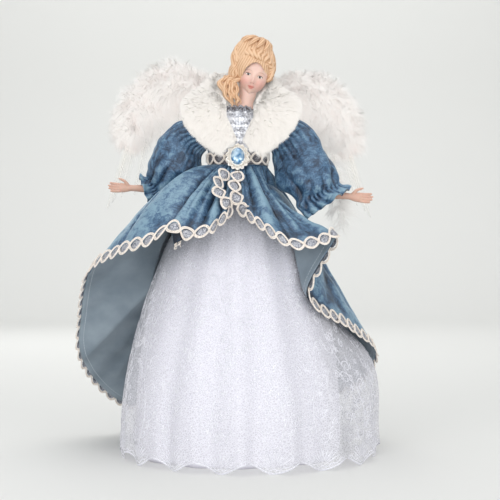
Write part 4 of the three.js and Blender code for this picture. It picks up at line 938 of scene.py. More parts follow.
first_row = round(BRAID_START * (COAT_ROWS - 1))
rows = np.arange(first_row, COAT_ROWS - 2)
columns = np.arange(2, COAT_COLUMNS - 2)
route = (
    [(row, 0, row, 14) for row in rows]
    + [(COAT_ROWS - 1, column, COAT_ROWS - 5, column) for column in columns]
    + [(row, COAT_COLUMNS - 1, row, COAT_COLUMNS - 15) for row in rows[::-1]]
)
row, column, row_in, column_in = np.array(route).T
outward = soften(grid_normals(coat_grid)[row, column], 3)
edge = coat_grid[row, column]
across = soften(unit(coat_grid[row_in, column_in] - edge), 4)
across = unit(unit(across) + [0, 0, 0.55])
outward = square_to(outward, across)
path = soften(edge, 2) + outward * (VELVET + 0.1) + across * 0.6
# Below the brooch the left edge laps over the right one, whose braid comes loose and lies in a loop.
# Height, then distance to the side, of each.
LAP = np.array([[232, 6.0], [238, 3.0], [244, -0.6], [250, -2.6], [256, -3.2], [263, -1.5], [271, 2.2]])
LOOP = np.array([[234, -5.5], [240, -10.0], [246, -15.0], [252, -18.0], [258, -18.6], [264, -16.0], [271, -9.0]])
in_front = coat_grid[coat_grid[..., 1] < -15]
ways_out = grid_normals(coat_grid)[coat_grid[..., 1] < -15]
run = len(rows)
for part, shape, lift in ((slice(0, run), LAP, 2.6), (slice(-run, None), LOOP, 0.6)):
    height = path[part, 2]
    held = ease(height, shape[0, 0], shape[0, 0] + 6)[:, None]
    wanted = np.stack([np.interp(height, shape[:, 0], shape[:, 1]), height], axis=-1)
    apart = ((in_front[None, :, [0, 2]] - wanted[:, None]) ** 2).sum(-1)
    nearest = apart.argmin(1)
    foremost = np.where(apart < 6.5**2, in_front[:, 1], 0).min(1)
    laid_at = np.stack([wanted[:, 0], foremost - VELVET - lift, height], axis=-1)
    path[part] += held * (soften(laid_at, 4) - path[part])
    outward[part] = unit(outward[part] + held * (soften(ways_out[nearest], 6) + [0, -0.6, 0] - outward[part]))
    line = np.gradient(soften(path[part], 3), axis=0)
    square = unit(np.cross(outward[part], unit(line)))
    square *= np.sign((square * across[part]).sum(-1, keepdims=True).mean())
    across[part] = unit(across[part] + held * (square - across[part]))
strip, faces, layer = loop_braid(path_length(path), **COAT_BRAID)
laid = lay_along(strip, path, across, outward)
# One cut end of the braid hangs frayed from the corner of the folded pleat.
FRAYED_CORDS = 9
rng = np.random.default_rng(61)
fray = []
for end in np.linspace(0.05, 0.65, FRAYED_CORDS):
    root = pleat_return(np.array([0.97]), np.array([end]))[0]
    drop = np.array([rng.uniform(-2.5, 2.5), rng.uniform(-1.5, 0.5), -rng.uniform(2.5, 5.0)])
    bow = np.array([rng.uniform(-1.5, 1.5), -1.0, -1.0])
    fray.append(tube(spline([root, root + drop / 2 + bow, root + drop], np.linspace(0, 1, 9)), 0.4, sides=6))
fray_points, fray_faces = merge(*fray)
points, faces = merge((laid, faces), (fray_points, fray_faces))
layer = layer + [0] * len(fray_faces)
coat_braid = mesh_piece("coat_loop_braid", points, faces, [cream_cord, silver_yarn], "root", layer)
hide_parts("coat_braid")
print("coat braid:", round(path_length(path)), "mm")

# %% [markdown]
# ## Waist ribbon and belt
# A cream grosgrain ribbon is tied round the waist over the velvet, and its cut ends stick out beside
# the sleeves. Grosgrain has ribs across its length, about 1 mm apart; they are modelled as waves. A
# length of the same loop braid, on a ground of smoke-grey yarn, lies on the ribbon in front.

# %% Waist ribbon and belt
grosgrain, tree, shader = new_material("woven_grosgrain_ribbon", Roughness=0.5, Sheen_Weight=0.2)
place = add_node(tree, "ShaderNodeAttribute", attribute_name="weave_mm").outputs["Vector"]
# At scale 1 this node's bands are TAU / 20 apart.
RIB_MM = 1.0
bands = {"Vector": place, "Scale": TAU / 20 / RIB_MM, "Distortion": 0.4}
ribs = add_node(tree, "ShaderNodeTexWave", bands).outputs["Fac"]
add_node(tree, "ShaderNodeValToRGB", {"Fac": ribs}, [(0, "#e6dccf"), (1, "#faf5ee")], (shader, "Base Color"))
height = {"Height": ribs, "Strength": 0.4, "Distance": 0.0004}
add_node(tree, "ShaderNodeBump", height, into=(shader, "Normal"))

RIBBON_RADIUS, RIBBON_HALF, RIBBON_THICKNESS, WEAVE_RADIUS = 29.3, 6, 0.6, 30
BELT_RADIUS, BELT_BRAID = 30.4, {"pitch": 12.5, "half_width": 5.2, "cord": 0.5}
angles = round_angles(300)
z = WAIST + np.linspace(RIBBON_HALF, -RIBBON_HALF, 14)[:, None]
curl = 0.25 * np.cos(math.pi * (z - WAIST) / RIBBON_HALF)
grid = polar(angles, RIBBON_RADIUS + curl + 0.06 * np.cos(190 * angles), z)
points, faces, _ = cloth_shell(grid, RIBBON_THICKNESS, ring=True)
forms, weaves = [(points, faces)], [weave_place(angles * WEAVE_RADIUS, z)] * 2
for angle, lean in ((64, 0.35), (-66, 0.2)):
    reach = np.linspace(0, 9, 12)
    height = np.linspace(5, -5, 10)[:, None]
    rise = WAIST + height * (1 - 0.02 * reach) + lean * reach + 0.4 * np.sin(reach / 2)
    turn = math.radians(angle) + np.sign(angle) * reach * 0.022
    tail = polar(turn, RIBBON_RADIUS + 0.9 + 0.16 * reach, rise)
    tail_points, tail_faces, _ = cloth_shell(tail if angle > 0 else tail[:, ::-1], 0.5)
    forms.append((tail_points, tail_faces))
    weaves += [weave_place(reach, height)] * 2
points, faces = merge(*forms)
waist_ribbon = mesh_piece("waist_grosgrain", points, faces, [grosgrain], "root", weave_mm=np.concatenate(weaves))
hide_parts("waist_ribbon")
declare_cloth(waist_ribbon, grid, ring=True)

angles = np.radians(np.linspace(-72, 72, 90))
path = polar(angles, BELT_RADIUS, WAIST)
strip, faces, layer = loop_braid(path_length(path), **BELT_BRAID)
upward = np.broadcast_to([0.0, 0.0, 1.0], path.shape)
ground = polar(angles, BELT_RADIUS - 0.35, WAIST + np.linspace(5.9, -5.9, 7)[:, None])
ground_points, ground_faces, _ = cloth_shell(ground, 0.3)
laid = lay_along(strip, path, upward, polar(angles, 1, 0))
points, faces = merge((laid, faces), (ground_points, ground_faces))
layer = layer + [1] * len(ground_faces)
belt_braid = mesh_piece("belt_loop_braid", points, faces, [cream_cord, smoked_yarn], "root", layer)
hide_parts("belt_braid")
print("belt braid:", round(path_length(path)), "mm")

# %% [markdown]
# ## Brooch
# A faceted acrylic stone, 13 by 18 mm, sits in a cast filigree mount: a plate with petals, a rope
# edge round the stone, beads and small claws. It is drawn flat, facing the front, and then leans back
# with the collar. The facets stay flat-shaded, because on a cut stone every facet is a mirror.

# %% Brooch
# The casting is uneven in tone, in patches about 2 mm across; the stone is painted paler in patches about 6 mm
# across, as painted reflections of the foil behind it.
filigree = mottled(
    "cast_gilt_filigree", "ShaderNodeTexNoise", {"Scale": 1 / 0.002, "Detail": 4},
    [(0.3, "#e0d6c8"), (0.6, "#fdfaf4")], Metallic=0.35, Roughness=0.35,
)  # fmt: skip
stone = mottled(
    "cut_acrylic_on_foil", "ShaderNodeTexNoise", {"Scale": 1 / 0.006, "Detail": 1},
    [(0.36, "#3a78a8"), (0.64, "#c4def0")], Metallic=0.35, Roughness=0.06, Coat_Weight=1.0, Coat_Roughness=0.03,
)  # fmt: skip

BROOCH_AT, BROOCH_LEAN = np.array([0, -34.5, WAIST]), math.radians(-21)
STONE_HALF_WIDE, STONE_HALF_TALL, PETALS = 6.5, 9, 14


def on_brooch(points):
    """Leans what was drawn facing the front back with the collar."""
    x, y, z = np.moveaxis(np.asarray(points, float), -1, 0)
    c, s = math.cos(BROOCH_LEAN), math.sin(BROOCH_LEAN)
    return np.stack([x, c * y - s * z, s * y + c * z], axis=-1) + BROOCH_AT


def oval(grow, depth, turn):
    """Points round the stone's outline, grown by some millimetres."""
    wide, tall = STONE_HALF_WIDE + grow, STONE_HALF_TALL + grow
    return np.stack([wide * np.sin(turn), 0 * turn + depth, tall * np.cos(turn)], axis=-1)


turn = np.arange(113) * TAU / 112
rim = 4.1 + 0.8 * np.cos(PETALS * turn)
PLATE = ((-1.2, -0.2), (rim - 0.3, -0.2), (rim, -0.8), (rim - 0.3, -1.4), (-1.2, -1.4))
CLAW = ((1.4, -1.2), (1.2, -3.0), (0.2, -3.9), (-0.8, -4.1))
plate = np.stack([oval(grow, depth, turn) for grow, depth in PLATE])
forms = [(plate, grid_faces(len(PLATE), len(turn)))]
forms.append(tube(oval(0.55 + 0.22 * np.cos(56 * turn), -2.6, turn), 0.75, up=(0, 1, 0)))
forms.append(tube(oval(rim - 0.2, -1.5, turn), 0.55, up=(0, 1, 0)))
for petal in round_angles(PETALS):
    loop = np.linspace(0, TAU, 21)
    line = oval(2.2 + 1.7 * np.cos(loop), -1.9, petal + 0.135 * np.sin(loop))
    forms.append(tube(line, 0.42, up=(0, 1, 0)))
    for spot, size, grow in ((petal, 0.75, 2.2), (petal + TAU / PETALS / 2, 0.62, 3.2)):
        depth = np.linspace(0.9, -0.98, 8)
        bead = oval(grow, -2.0, spot) + np.outer(depth * size, [0, 1, 0])
        forms.append(tube(bead, size * np.sqrt(1 - depth**2) + 0.02, sides=10))
for claw in np.radians([45, 135, 225, 315]):
    line = np.stack([oval(grow, depth, claw) for grow, depth in CLAW])
    forms.append(tube(line, [0.9, 0.85, 0.7, 0.4], sides=8, up=(math.sin(claw), 0, math.cos(claw))))
points, faces = merge(*forms)
brooch_setting = mesh_piece("brooch_filigree", on_brooch(points), faces, [filigree], "root")
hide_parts("brooch_setting")

# Size, depth and turn of the rings of corners between the stone's facets.
CORNERS = 16
half = TAU / CORNERS / 2
GEM_RINGS = [
    (0.5, -6.0, 0.0), (0.76, -5.3, half), (0.9, -4.3, 0.0),
    (1.0, -3.0, half), (0.98, -2.4, half), (0.8, -1.0, half),
]  # fmt: skip
rings = []
for size, depth, shift in GEM_RINGS:
    turn = round_angles(CORNERS) + shift
    wide, tall = STONE_HALF_WIDE * size, STONE_HALF_TALL * size
    rings.append(np.stack([wide * np.sin(turn), 0 * turn + depth, tall * np.cos(turn)], axis=-1))
first, last = end_faces(len(rings), CORNERS)
faces = [first]
for ring in range(len(rings) - 1):
    upper, lower = GEM_RINGS[ring][2], GEM_RINGS[ring + 1][2]
    for k in range(CORNERS):
        a, b = ring * CORNERS + k, ring * CORNERS + (k + 1) % CORNERS
        c, d = a + CORNERS, b + CORNERS
        if upper < lower:
            faces += [[a, c, b], [b, c, d]]
        elif upper > lower:
            faces += [[a, c, d], [a, d, b]]
        else:
            faces.append([a, c, d, b])
faces.append(last)
brooch_gem = mesh_piece("brooch_cut_stone", on_brooch(np.concatenate(rings)), faces, [stone], "root", smooth=False)
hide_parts("brooch_gem")
print("stone facets:", len(faces))

# %% [markdown]
# ## Sequin bodice and neckline trim
# Under the collar shows a close-fitting bodice covered with flat silver sequins, sewn on in
# overlapping rows, and a silver loop braid finishes the neck. Painted glints make the rows bright and
# dull in turn. Each sequin is a small dished disc that leans its own way, so that some catch the light
# and some stay dark.

# %% Sequin bodice and neckline trim
sequin_foil, tree, shader = new_material("silver_polyester_foil", Metallic=0.55, Roughness=0.34)
place = add_node(tree, "ShaderNodeTexCoord").outputs["Object"]
# Painted glints: the foil's colour is painted brighter and duller in patches about 2.5 mm across, and by row.
tone = add_node(tree, "ShaderNodeTexNoise", {"Vector": place, "Scale": 1 / 0.0025, "Detail": 2}).outputs["Fac"]
row_tone = add_node(tree, "ShaderNodeAttribute", attribute_name="row_tone").outputs["Fac"]
tone = add_node(tree, "ShaderNodeMath", {0: row_tone, 1: 0.4, 2: tone}, operation="MULTIPLY_ADD").outputs["Value"]
add_node(tree, "ShaderNodeValToRGB", {"Fac": tone}, [(0.4, "#868993"), (0.8, "#eceef4")], (shader, "Base Color"))

SEQUIN_RADIUS, SEQUIN_DISH, SEQUIN_STEP, SEQUIN_ROW_STEP = 1.65, 0.35, 2.7, 2.3
NECK_Z, NECK_BRAID = 333.6, {"pitch": 6.4, "half_width": 3.0, "cord": 0.42}
grid = body_point(round_angles(160), np.linspace(334, BODICE_FOOT, 40)[:, None], 0.3)
points, faces, layer = cloth_shell(grid, 0.5, ring=True)
sequin_bodice = mesh_piece("sequin_bodice_cloth", points, faces, [silver_yarn, silver_yarn], "root", layer)
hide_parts("sequin_bodice")

rng = np.random.default_rng(71)
forms, row_tones = [], []
spin = round_angles(8)
for row, level in enumerate(np.arange(282, 334, SEQUIN_ROW_STEP)):
    wide = np.interp(level, BODY_Z, BODY_HALF_WIDTH)
    step = math.degrees(SEQUIN_STEP / wide)
    for angle in np.radians(np.arange(-66, 66, step) + step / 2 * (row % 2)):
        at = body_point(angle, level, 1.35)
        out = unit(np.array([math.sin(angle), -math.cos(angle), 0.25]) + rng.normal(size=3) * 0.16)
        side = unit(np.cross(out, [0, 0, 1]))
        up = np.cross(side, out)
        rim = at + SEQUIN_RADIUS * (np.cos(spin)[:, None] * side + np.sin(spin)[:, None] * up)
        disc = np.concatenate([rim, [at - out * SEQUIN_DISH]])
        forms.append((disc, [[k, (k + 1) % 8, 8] for k in range(8)]))
        # Painted glints: one row in three is painted brighter than the two after it.
        row_tones += [0.5 + 0.5 * math.cos(TAU * row / 3)] * 9
points, faces = merge(*forms)
sequins = mesh_piece(
    "bodice_sequins", points, faces, [sequin_foil], "root", smooth=False, row_tone=np.array(row_tones)
)
declare_cloth(sequin_bodice, grid, ring=True)

angles = np.arange(121) * TAU / 120
path = body_point(angles, NECK_Z, 1.5)
strip, faces, layer = loop_braid(path_length(path), **NECK_BRAID)
upward = unit(body_point(angles, NECK_Z + 2, 1.5) - path)
outward = unit(np.cross(np.gradient(path, axis=0), upward))
laid = lay_along(strip, path, upward, outward)
neckline_trim = mesh_piece("neckline_loop_braid", laid, faces, [silver_yarn, smoked_yarn], "root", layer)
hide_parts("neckline_trim")
print("sequins:", len(forms))

# %% [markdown]
# ## Fur collar
# The shawl collar is cut from acrylic fur with a dense pile of about 8 mm. A backing roll gives its
# shape. The pile is real strands, each a 0.4 mm strip, wider than a hair so that it shows, that
# tapers to a tip and lies a little downhill; strands in a tuft lean together. Their shading follows
# the roll, and they throw no shadow on each other, because light passes on from strand to strand in
# white fur and makes it look soft.

# %% Fur collar backing
# Centre, half width, half thickness and the way out of the roll, from a front tip to the nape.
COLLAR = np.array([
    [13, -38.5, 8, 9, 4, 0.1, -0.97, 0.2], [16, -37.5, 18, 15.5, 6, 0.15, -0.92, 0.35],
    [32, -25, 41, 22.5, 7, 0.35, -0.72, 0.6], [38, 2, 61, 21, 8, 0.3, -0.05, 0.95],
    [26, 24, 71, 19, 8, 0.4, 0.7, 0.5], [0, 32, 74, 17, 7, 0, 0.94, 0.34],
])  # fmt: skip
MIRROR = np.array([-1, 1, 1, 1, 1, -1, 1, 1])
COLLAR_LINE = np.concatenate([COLLAR, COLLAR[-2::-1] * MIRROR])
COLLAR_OFFSET = np.array([3, 0, WAIST])


def collar_point(share, turn, grow=1.0):
    """A point of the roll and the way out of it: share from tip to tip, turn round its section."""
    share, turn = np.broadcast_arrays(share, turn)
    row = spline(COLLAR_LINE, share)
    after, before = (spline(COLLAR_LINE[:, :3], np.clip(share + step, 0, 1)) for step in (0.004, -0.004))
    ahead = unit(after - before)
    across = unit(np.cross(row[..., 5:8], ahead))
    facing = unit(np.cross(ahead, across))
    wide, thick = row[..., 3:4] * grow, row[..., 4:5] * grow
    c, s = np.cos(turn)[..., None], np.sin(turn)[..., None]
    at = row[..., :3] + COLLAR_OFFSET + wide * c * across + thick * s * facing
    return at, unit(c * across / wide + s * facing / thick)


def loose_fibre(name, foot, tip, **sockets):
    """Fibre painted darker towards its roots, as painted shade among the strands; each point knows how far out it
    is.
    """
    material, tree, shader = new_material(name, **sockets)
    outer = add_node(tree, "ShaderNodeAttribute", attribute_name="outer").outputs["Fac"]
    add_node(tree, "ShaderNodeValToRGB", {"Fac": outer}, [(0, foot), (1, tip)], (shader, "Base Color"))
    return material


fur = loose_fibre("acrylic_fur_pile", "#d6d2cd", "#e9e6e2", Roughness=0.85, Sheen_Weight=0.2)
ROLL_RINGS, ROLL_SIDES = 150, 40
base, _ = collar_point(np.linspace(0, 1, ROLL_RINGS)[:, None], round_angles(ROLL_SIDES), 0.72)
faces = grid_faces(ROLL_RINGS, ROLL_SIDES, ring=True) + end_faces(ROLL_RINGS, ROLL_SIDES)
# The backing is painted in the mid shade of the pile's roots.
outer = np.full(ROLL_RINGS * ROLL_SIDES, 0.6)
collar_roll = mesh_piece("fur_collar_backing", base, faces, [fur], "root", outer=outer)
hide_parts("fur_collar")
collar_roll.visible_shadow = False

# %% Fur pile
HEAD_AT = np.array([15, -1, 367.0])


def turned(degrees, axis):
    """A turn about an axis, as a matrix."""
    c, s = math.cos(math.radians(degrees)), math.sin(math.radians(degrees))
    return np.array({
        "x": [[1, 0, 0], [0, c, -s], [0, s, c]],
        "y": [[c, 0, s], [0, 1, 0], [-s, 0, c]],
        "z": [[c, -s, 0], [s, c, 0], [0, 0, 1]],
    }[axis])  # fmt: skip


HEAD_TURN = turned(16, "y") @ turned(6, "x") @ turned(5, "z")
RINGLET_FALL = np.array([[-18, 1, -5], [-22, -5, -13], [-18.5, -9, -21], [-12.5, -12, -28], [-9, -13, -34]], float)
STRAND_POINTS = 5


def strands(roots, ways, out, lean, length, width, rng):
    """Tapering strips with their flat side outwards: a foot, a middle and a tip that leans over."""
    side = unit(np.cross(ways, out + 0.35 * rng.normal(size=ways.shape))) * width
    middle = roots + (ways * 0.55 + lean * 0.1) * length
    tip = roots + (ways * 0.85 + lean * 0.45) * length
    points = np.stack([roots - side, roots + side, middle - side * 0.8, middle + side * 0.8, tip], axis=1)
    first = np.arange(len(roots))[:, None] * STRAND_POINTS
    return points, (first + [0, 1, 3, 2]).tolist() + (first + [2, 3, 4]).tolist()


def evenly_lit(out):
    """Light passes on from strand to strand, so a pile looks almost evenly lit from front and back."""
    level = np.where(out[:, 1] < 0, -0.6, 0.6)
    return unit(0.5 * out + np.stack([0 * level, level, 0 * level + 0.4], axis=-1))


def egg(points, centre, radii):
    """1 on an egg-shaped surface, less inside it and more outside."""
    return (((points - np.array(centre)) / radii) ** 2).sum(-1)


def near_head_or_brooch(points):
    """Whether points are where the head, the hair or the brooch is."""
    local = (points - HEAD_AT) @ HEAD_TURN
    skull = egg(local, [-3, 5, 8], [20.5, 21, 22]) < 1
    face = egg(local, [0, -1, -2], [15.5, 16, 21]) < 1
    fall = spline(RINGLET_FALL, np.linspace(0, 1, 9))
    curls = (np.linalg.norm(local[:, None] - fall, axis=-1) < 3.8).any(1)
    neck = np.linalg.norm(points[:, :2] - [5, 0], axis=-1) < 9.6
    brooch = ((points[:, 0] / 11.6) ** 2 + ((points[:, 2] - WAIST) / 14) ** 2 < 1) & (points[:, 1] < -28)
    vee = np.abs(points[:, 0] - 2) < np.clip(0.47 * (points[:, 2] - 297), 0, 12.2)
    return skull | face | curls | (neck & (points[:, 2] > 335)) | brooch | (vee & (points[:, 1] < -8))


# Strands tried and kept, their mean length and half their width in millimetres.
STRANDS_TRIED, STRANDS_KEPT, PILE_LENGTH, STRAND_HALF = 130000, 92000, 8.6, 0.2
rng = np.random.default_rng(83)
shares = np.linspace(0.0, 1.0, 400)
speed = np.linalg.norm(np.gradient(collar_point(shares, 0 * shares + math.pi / 2)[0], axis=0), axis=-1)
girth = spline(COLLAR_LINE, shares)[:, 3]
spread = np.cumsum(speed * girth) / (speed * girth).sum()
chosen = np.interp(rng.uniform(0, 1, STRANDS_TRIED), spread, shares)
turn = np.arctan2(rng.uniform(-0.55, 1, STRANDS_TRIED), rng.uniform(-1, 1, STRANDS_TRIED) * 1.9)
roots, out = collar_point(chosen, turn, 0.74)
clump = np.stack([ripple(roots, 6, seed, 9) for seed in (84, 85, 86)], axis=-1)
# The pile falls outwards, but on the inner edge it turns in towards the neck.
away = unit((roots - [5, 4, 0]) * [1, 1, 0])
inner = ease(-(out * away).sum(-1, keepdims=True), 0.05, 0.6)
comb = away * (1 - 1.7 * inner) + [0, 0, -1.0] * (1 - 0.6 * inner)
comb = square_to(comb, out)
ways = unit(0.6 * out + 0.7 * comb + 0.14 * clump + rng.normal(size=roots.shape) * 0.2)
length = (PILE_LENGTH + 0.6 * ripple(roots, 13, 87)) * rng.uniform(0.75, 1.12, len(roots))
lean = 0.14 * clump + [0, 0, -0.35]
facing = evenly_lit(out - inner * [0, 0.6, 0])
points, faces = strands(roots, ways, facing, lean, length[:, None], STRAND_HALF, rng)
keep = ~near_head_or_brooch(points[:, 4]) & ~near_head_or_brooch(points[:, 2])
keep &= np.arange(len(keep)) < np.flatnonzero(keep)[min(STRANDS_KEPT, keep.sum() - 1)]
roots, ways, facing, lean, length = (values[keep] for values in (roots, ways, facing, lean, length))
points, faces = strands(roots, ways, facing, lean, length[:, None], STRAND_HALF, rng)
soft = unit(facing + 0.07 * clump[keep] + 0.1 * rng.normal(size=facing.shape))
soft = np.repeat(soft, STRAND_POINTS, axis=0)
# Painted shade: each strand is darker at its foot and palest at its tip, with a random tone on top.
outer = np.tile([0.35, 0.35, 0.75, 0.75, 1.0], len(roots))
outer = outer * np.repeat(rng.uniform(0.7, 1, len(roots)), STRAND_POINTS)
fur_pile = mesh_piece("fur_collar_pile", points, faces, [fur], "root", normals=soft, outer=outer)
fur_pile.visible_shadow = False
print("fur strands:", int(keep.sum()))

# %% [markdown]
# ## Painted bisque
# Head and hands are cast bisque, unglazed and painted: pale skin, rosy cheeks, coral lips, brown eyes
# and thin brows. The paint is drawn on the face's own millimetres as soft oval dabs, each of them a
# distance from a centre, and two dabs that overlap leave a crescent for a lid or a brow.

# %% Bisque and face paint
bisque, tree, shader = new_material(
    "painted_bisque", Roughness=0.5,
    Subsurface_Weight=0.12, Subsurface_Scale=0.002, Subsurface_Radius=(1.0, 0.35, 0.2),
)  # fmt: skip
place = add_node(tree, "ShaderNodeAttribute", attribute_name="face_mm").outputs["Vector"]
grain = add_node(tree, "ShaderNodeTexNoise", {"Vector": place, "Scale": 0.22, "Detail": 4}).outputs["Fac"]
paint = add_node(tree, "ShaderNodeValToRGB", {"Fac": grain}, [(0, "#d3ad9e"), (1, "#e3c6ba")]).outputs["Color"]


def dab(x, z, half_wide, half_tall, soft):
    """How much of an oval dab of paint there is, from 1 inside to 0 outside."""
    oval_space = {"Vector": place, "Location": (x, 0, z), "Scale": (half_wide, 1e6, half_tall)}
    local = add_node(tree, "ShaderNodeMapping", oval_space, vector_type="TEXTURE")
    far = add_node(tree, "ShaderNodeVectorMath", {0: local.outputs["Vector"]}, operation="LENGTH")
    edge = {"From Min": 1 - soft, "From Max": 1 + soft, "To Min": 1.0, "To Max": 0.0}
    edge["Value"] = far.outputs["Value"]
    return add_node(tree, "ShaderNodeMapRange", edge, interpolation_type="SMOOTHSTEP").outputs["Result"]


def crescent(outer, inner):
    """The part of one dab that another leaves bare."""
    bare = add_node(tree, "ShaderNodeMath", {0: 1.0, 1: inner}, operation="SUBTRACT").outputs["Value"]
    return add_node(tree, "ShaderNodeMath", {0: outer, 1: bare}, operation="MULTIPLY").outputs["Value"]


def brush(under, amount, colour, strength=1.0):
    """Paints a colour over what is already there."""
    some = add_node(tree, "ShaderNodeMath", {0: amount, 1: strength}, operation="MULTIPLY").outputs["Value"]
    mixed = {"Factor": some, "A": under, "B": srgb(colour)}
    return add_node(tree, "ShaderNodeMix", mixed, data_type="RGBA").outputs["Result"]


for side in (-1, 1):
    paint = brush(paint, dab(side * 7.6, -6.8, 5.5, 4.2, 0.9), "#dd9a90", 0.5)
    paint = brush(paint, dab(side * 5.9, 1.2, 3.8, 2.2, 0.6), "#c79684", 0.35)
    paint = brush(paint, dab(side * 5.9, -0.1, 2.3, 0.95, 0.15), "#eadfd8")
    paint = brush(paint, dab(side * 5.8, 0.0, 1.2, 1.1, 0.15), "#3b251a")
    paint = brush(paint, dab(side * 5.8, 0.0, 0.65, 0.7, 0.15), "#120b08")
    # A white dot in each eye is a painted highlight.
    paint = brush(paint, dab(side * 5.8 + 0.4, 0.45, 0.24, 0.24, 0.3), "#ffffff")
    lid = crescent(dab(side * 6.0, 0.0, 2.7, 1.45, 0.1), dab(side * 5.9, -0.5, 2.6, 1.35, 0.12))
    paint = brush(paint, lid, "#2e1c15")
    below = crescent(dab(side * 6.0, -0.15, 2.4, 1.2, 0.1), dab(side * 5.9, 0.2, 2.5, 1.2, 0.12))
    paint = brush(paint, below, "#7a4a3c", 0.5)
    brow = crescent(dab(side * 6.2, 2.7, 3.6, 1.9, 0.16), dab(side * 5.9, 2.15, 3.8, 1.9, 0.16))
    paint = brush(paint, brow, "#a37350", 0.6)
    paint = brush(paint, dab(side * 1.35, -10.6, 1.9, 0.85, 0.3), "#d6857b", 0.85)
paint = brush(paint, dab(0, -12.0, 2.3, 1.15, 0.3), "#df9389", 0.9)
paint = brush(paint, dab(0, -11.15, 3.1, 0.26, 0.5), "#a0554c", 0.7)
for side in (-1, 1):
    paint = brush(paint, dab(side * 1.25, -7.5, 0.5, 0.35, 0.5), "#a4655a", 0.7)
# The hands, 60 mm below on the same scale, are painted browner and darker than the face.
paint = brush(paint, dab(20, -60, 60, 30, 0.3), "#c39a86", 0.75)
tree.links.new(paint, shader.inputs["Base Color"])
pores = add_node(tree, "ShaderNodeTexNoise", {"Vector": place, "Scale": 1.6, "Detail": 2})
height = {"Height": pores.outputs["Fac"], "Strength": 0.06, "Distance": 0.0003}
add_node(tree, "ShaderNodeBump", height, into=(shader, "Normal"))
print("face paint nodes:", len(tree.nodes))

# %% [markdown]
# ## Head
# The head, neck and shoulder plate are one casting. The head starts as a sphere that is narrowed
# towards the chin, and brow, nose, lips, cheeks and eye sockets are soft bumps and hollows, each
# pushed in or out round one direction. It then tilts to the doll's left and nods a little.

# %% Head casting
# Direction on the sphere, spread, and height in millimetres.
FACE_FORMS = [
    ((0, -1, -0.30), 0.105, 2.1), ((0, -1, -0.20), 0.10, 1.2),
    ((0, -1, -0.08), 0.10, 0.7), ((0, -1, 0.05), 0.13, 0.3),
    ((0.115, -1, -0.335), 0.07, 0.75), ((-0.115, -1, -0.335), 0.07, 0.75),
    ((0, -1, -0.52), 0.11, 0.75), ((0.12, -1, -0.53), 0.09, 0.35), ((-0.12, -1, -0.53), 0.09, 0.35),
    ((0, -1, -0.585), 0.05, -0.45), ((0, -1, -0.65), 0.11, 0.85), ((0, -1, -0.80), 0.11, -0.35),
    ((0, -0.8, -1.15), 0.3, 1.3), ((0.6, -0.9, -0.35), 0.27, 0.9), ((-0.6, -0.9, -0.35), 0.27, 0.9),
    ((0.42, -0.9, 0.02), 0.24, -1.3), ((-0.42, -0.9, 0.02), 0.24, -1.3),
    ((0.42, -0.9, -0.01), 0.11, 0.75), ((-0.42, -0.9, -0.01), 0.11, 0.75),
    ((0.4, -0.95, 0.27), 0.2, 0.5), ((-0.4, -0.95, 0.27), 0.2, 0.5),
]  # fmt: skip


def head_point(direction):
    """The face's surface in the head's own millimetres, for a direction from its centre."""
    swell = 0
    for at, spread, height in FACE_FORMS:
        apart = ((direction - unit(np.array(at, float))) ** 2).sum(-1)
        swell = swell + height * np.exp(-apart / spread**2)
    low = np.maximum(0, -direction[..., 2])
    x = direction[..., 0] * (14 * (1 - 0.42 * low**3) + swell)
    y = direction[..., 1] * (np.where(direction[..., 1] < 0, 14.5, 16.5) * (1 - 0.25 * low**2) + swell)
    z = direction[..., 2] * (np.where(direction[..., 2] < 0, 20, 21) + swell)
    return np.stack([x, y, z], axis=-1)


def on_head(local):
    return np.asarray(local) @ HEAD_TURN.T + HEAD_AT


HEAD_RINGS, HEAD_SIDES, NECK_SIDES = 130, 200, 80
down = np.linspace(0.002, math.pi - 0.002, HEAD_RINGS)[:, None]
local = head_point(ball(down, round_angles(HEAD_SIDES)))
caps = [face[::-1] for face in end_faces(HEAD_RINGS, HEAD_SIDES)]
skull = (on_head(local), grid_faces(HEAD_RINGS, HEAD_SIDES, ring=True, flip=True) + caps)

NECK_HALF_WIDTH, PAINT_DROP = 8.3, 60.0
neck_top = np.array([9.5, 1.0, 359.0])
heights = np.concatenate([np.linspace(318.3, 341, 30), np.linspace(343, neck_top[2], 9)])
drift = ease(heights, 326, 350)[:, None] * (neck_top * [1, 1, 0])
wide = np.interp(heights, BODY_Z, BODY_HALF_WIDTH[:-1] + [NECK_HALF_WIDTH])
deep = np.interp(heights, BODY_Z, BODY_HALF_DEPTH)
wide, deep = (soften(line[:, None], 2) for line in (wide, deep))
ring = round_angles(NECK_SIDES)
x, y = drift[:, :1] + wide * np.sin(ring), drift[:, 1:2] - deep * np.cos(ring)
neck = np.stack([x, y, heights[:, None] + 0 * ring], axis=-1)
points, faces = merge(skull, (neck, grid_faces(len(heights), NECK_SIDES, ring=True)))
# The neck is painted like the plain middle of the forehead, and the hands like a place far below the face.
neck_paint = neck.reshape(-1, 3) * [0, 0, 0.2] + [0, 0, -PAINT_DROP]
face_mm = np.concatenate([local.reshape(-1, 3), neck_paint])
head_casting = mesh_piece("bisque_head", points, faces, [bisque], "root", face_mm=face_mm)
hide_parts("head_casting")
print("head points:", len(points))

# %% [markdown]
# ## Moulded hair
# The hair belongs to the same casting: waves swept up from the hairline into a bun, and ringlets over
# one shoulder, painted gold with a darker wash left in the grooves. It is built from grooved locks.
# Each lock knows where its grooves are, and that steers the paint.

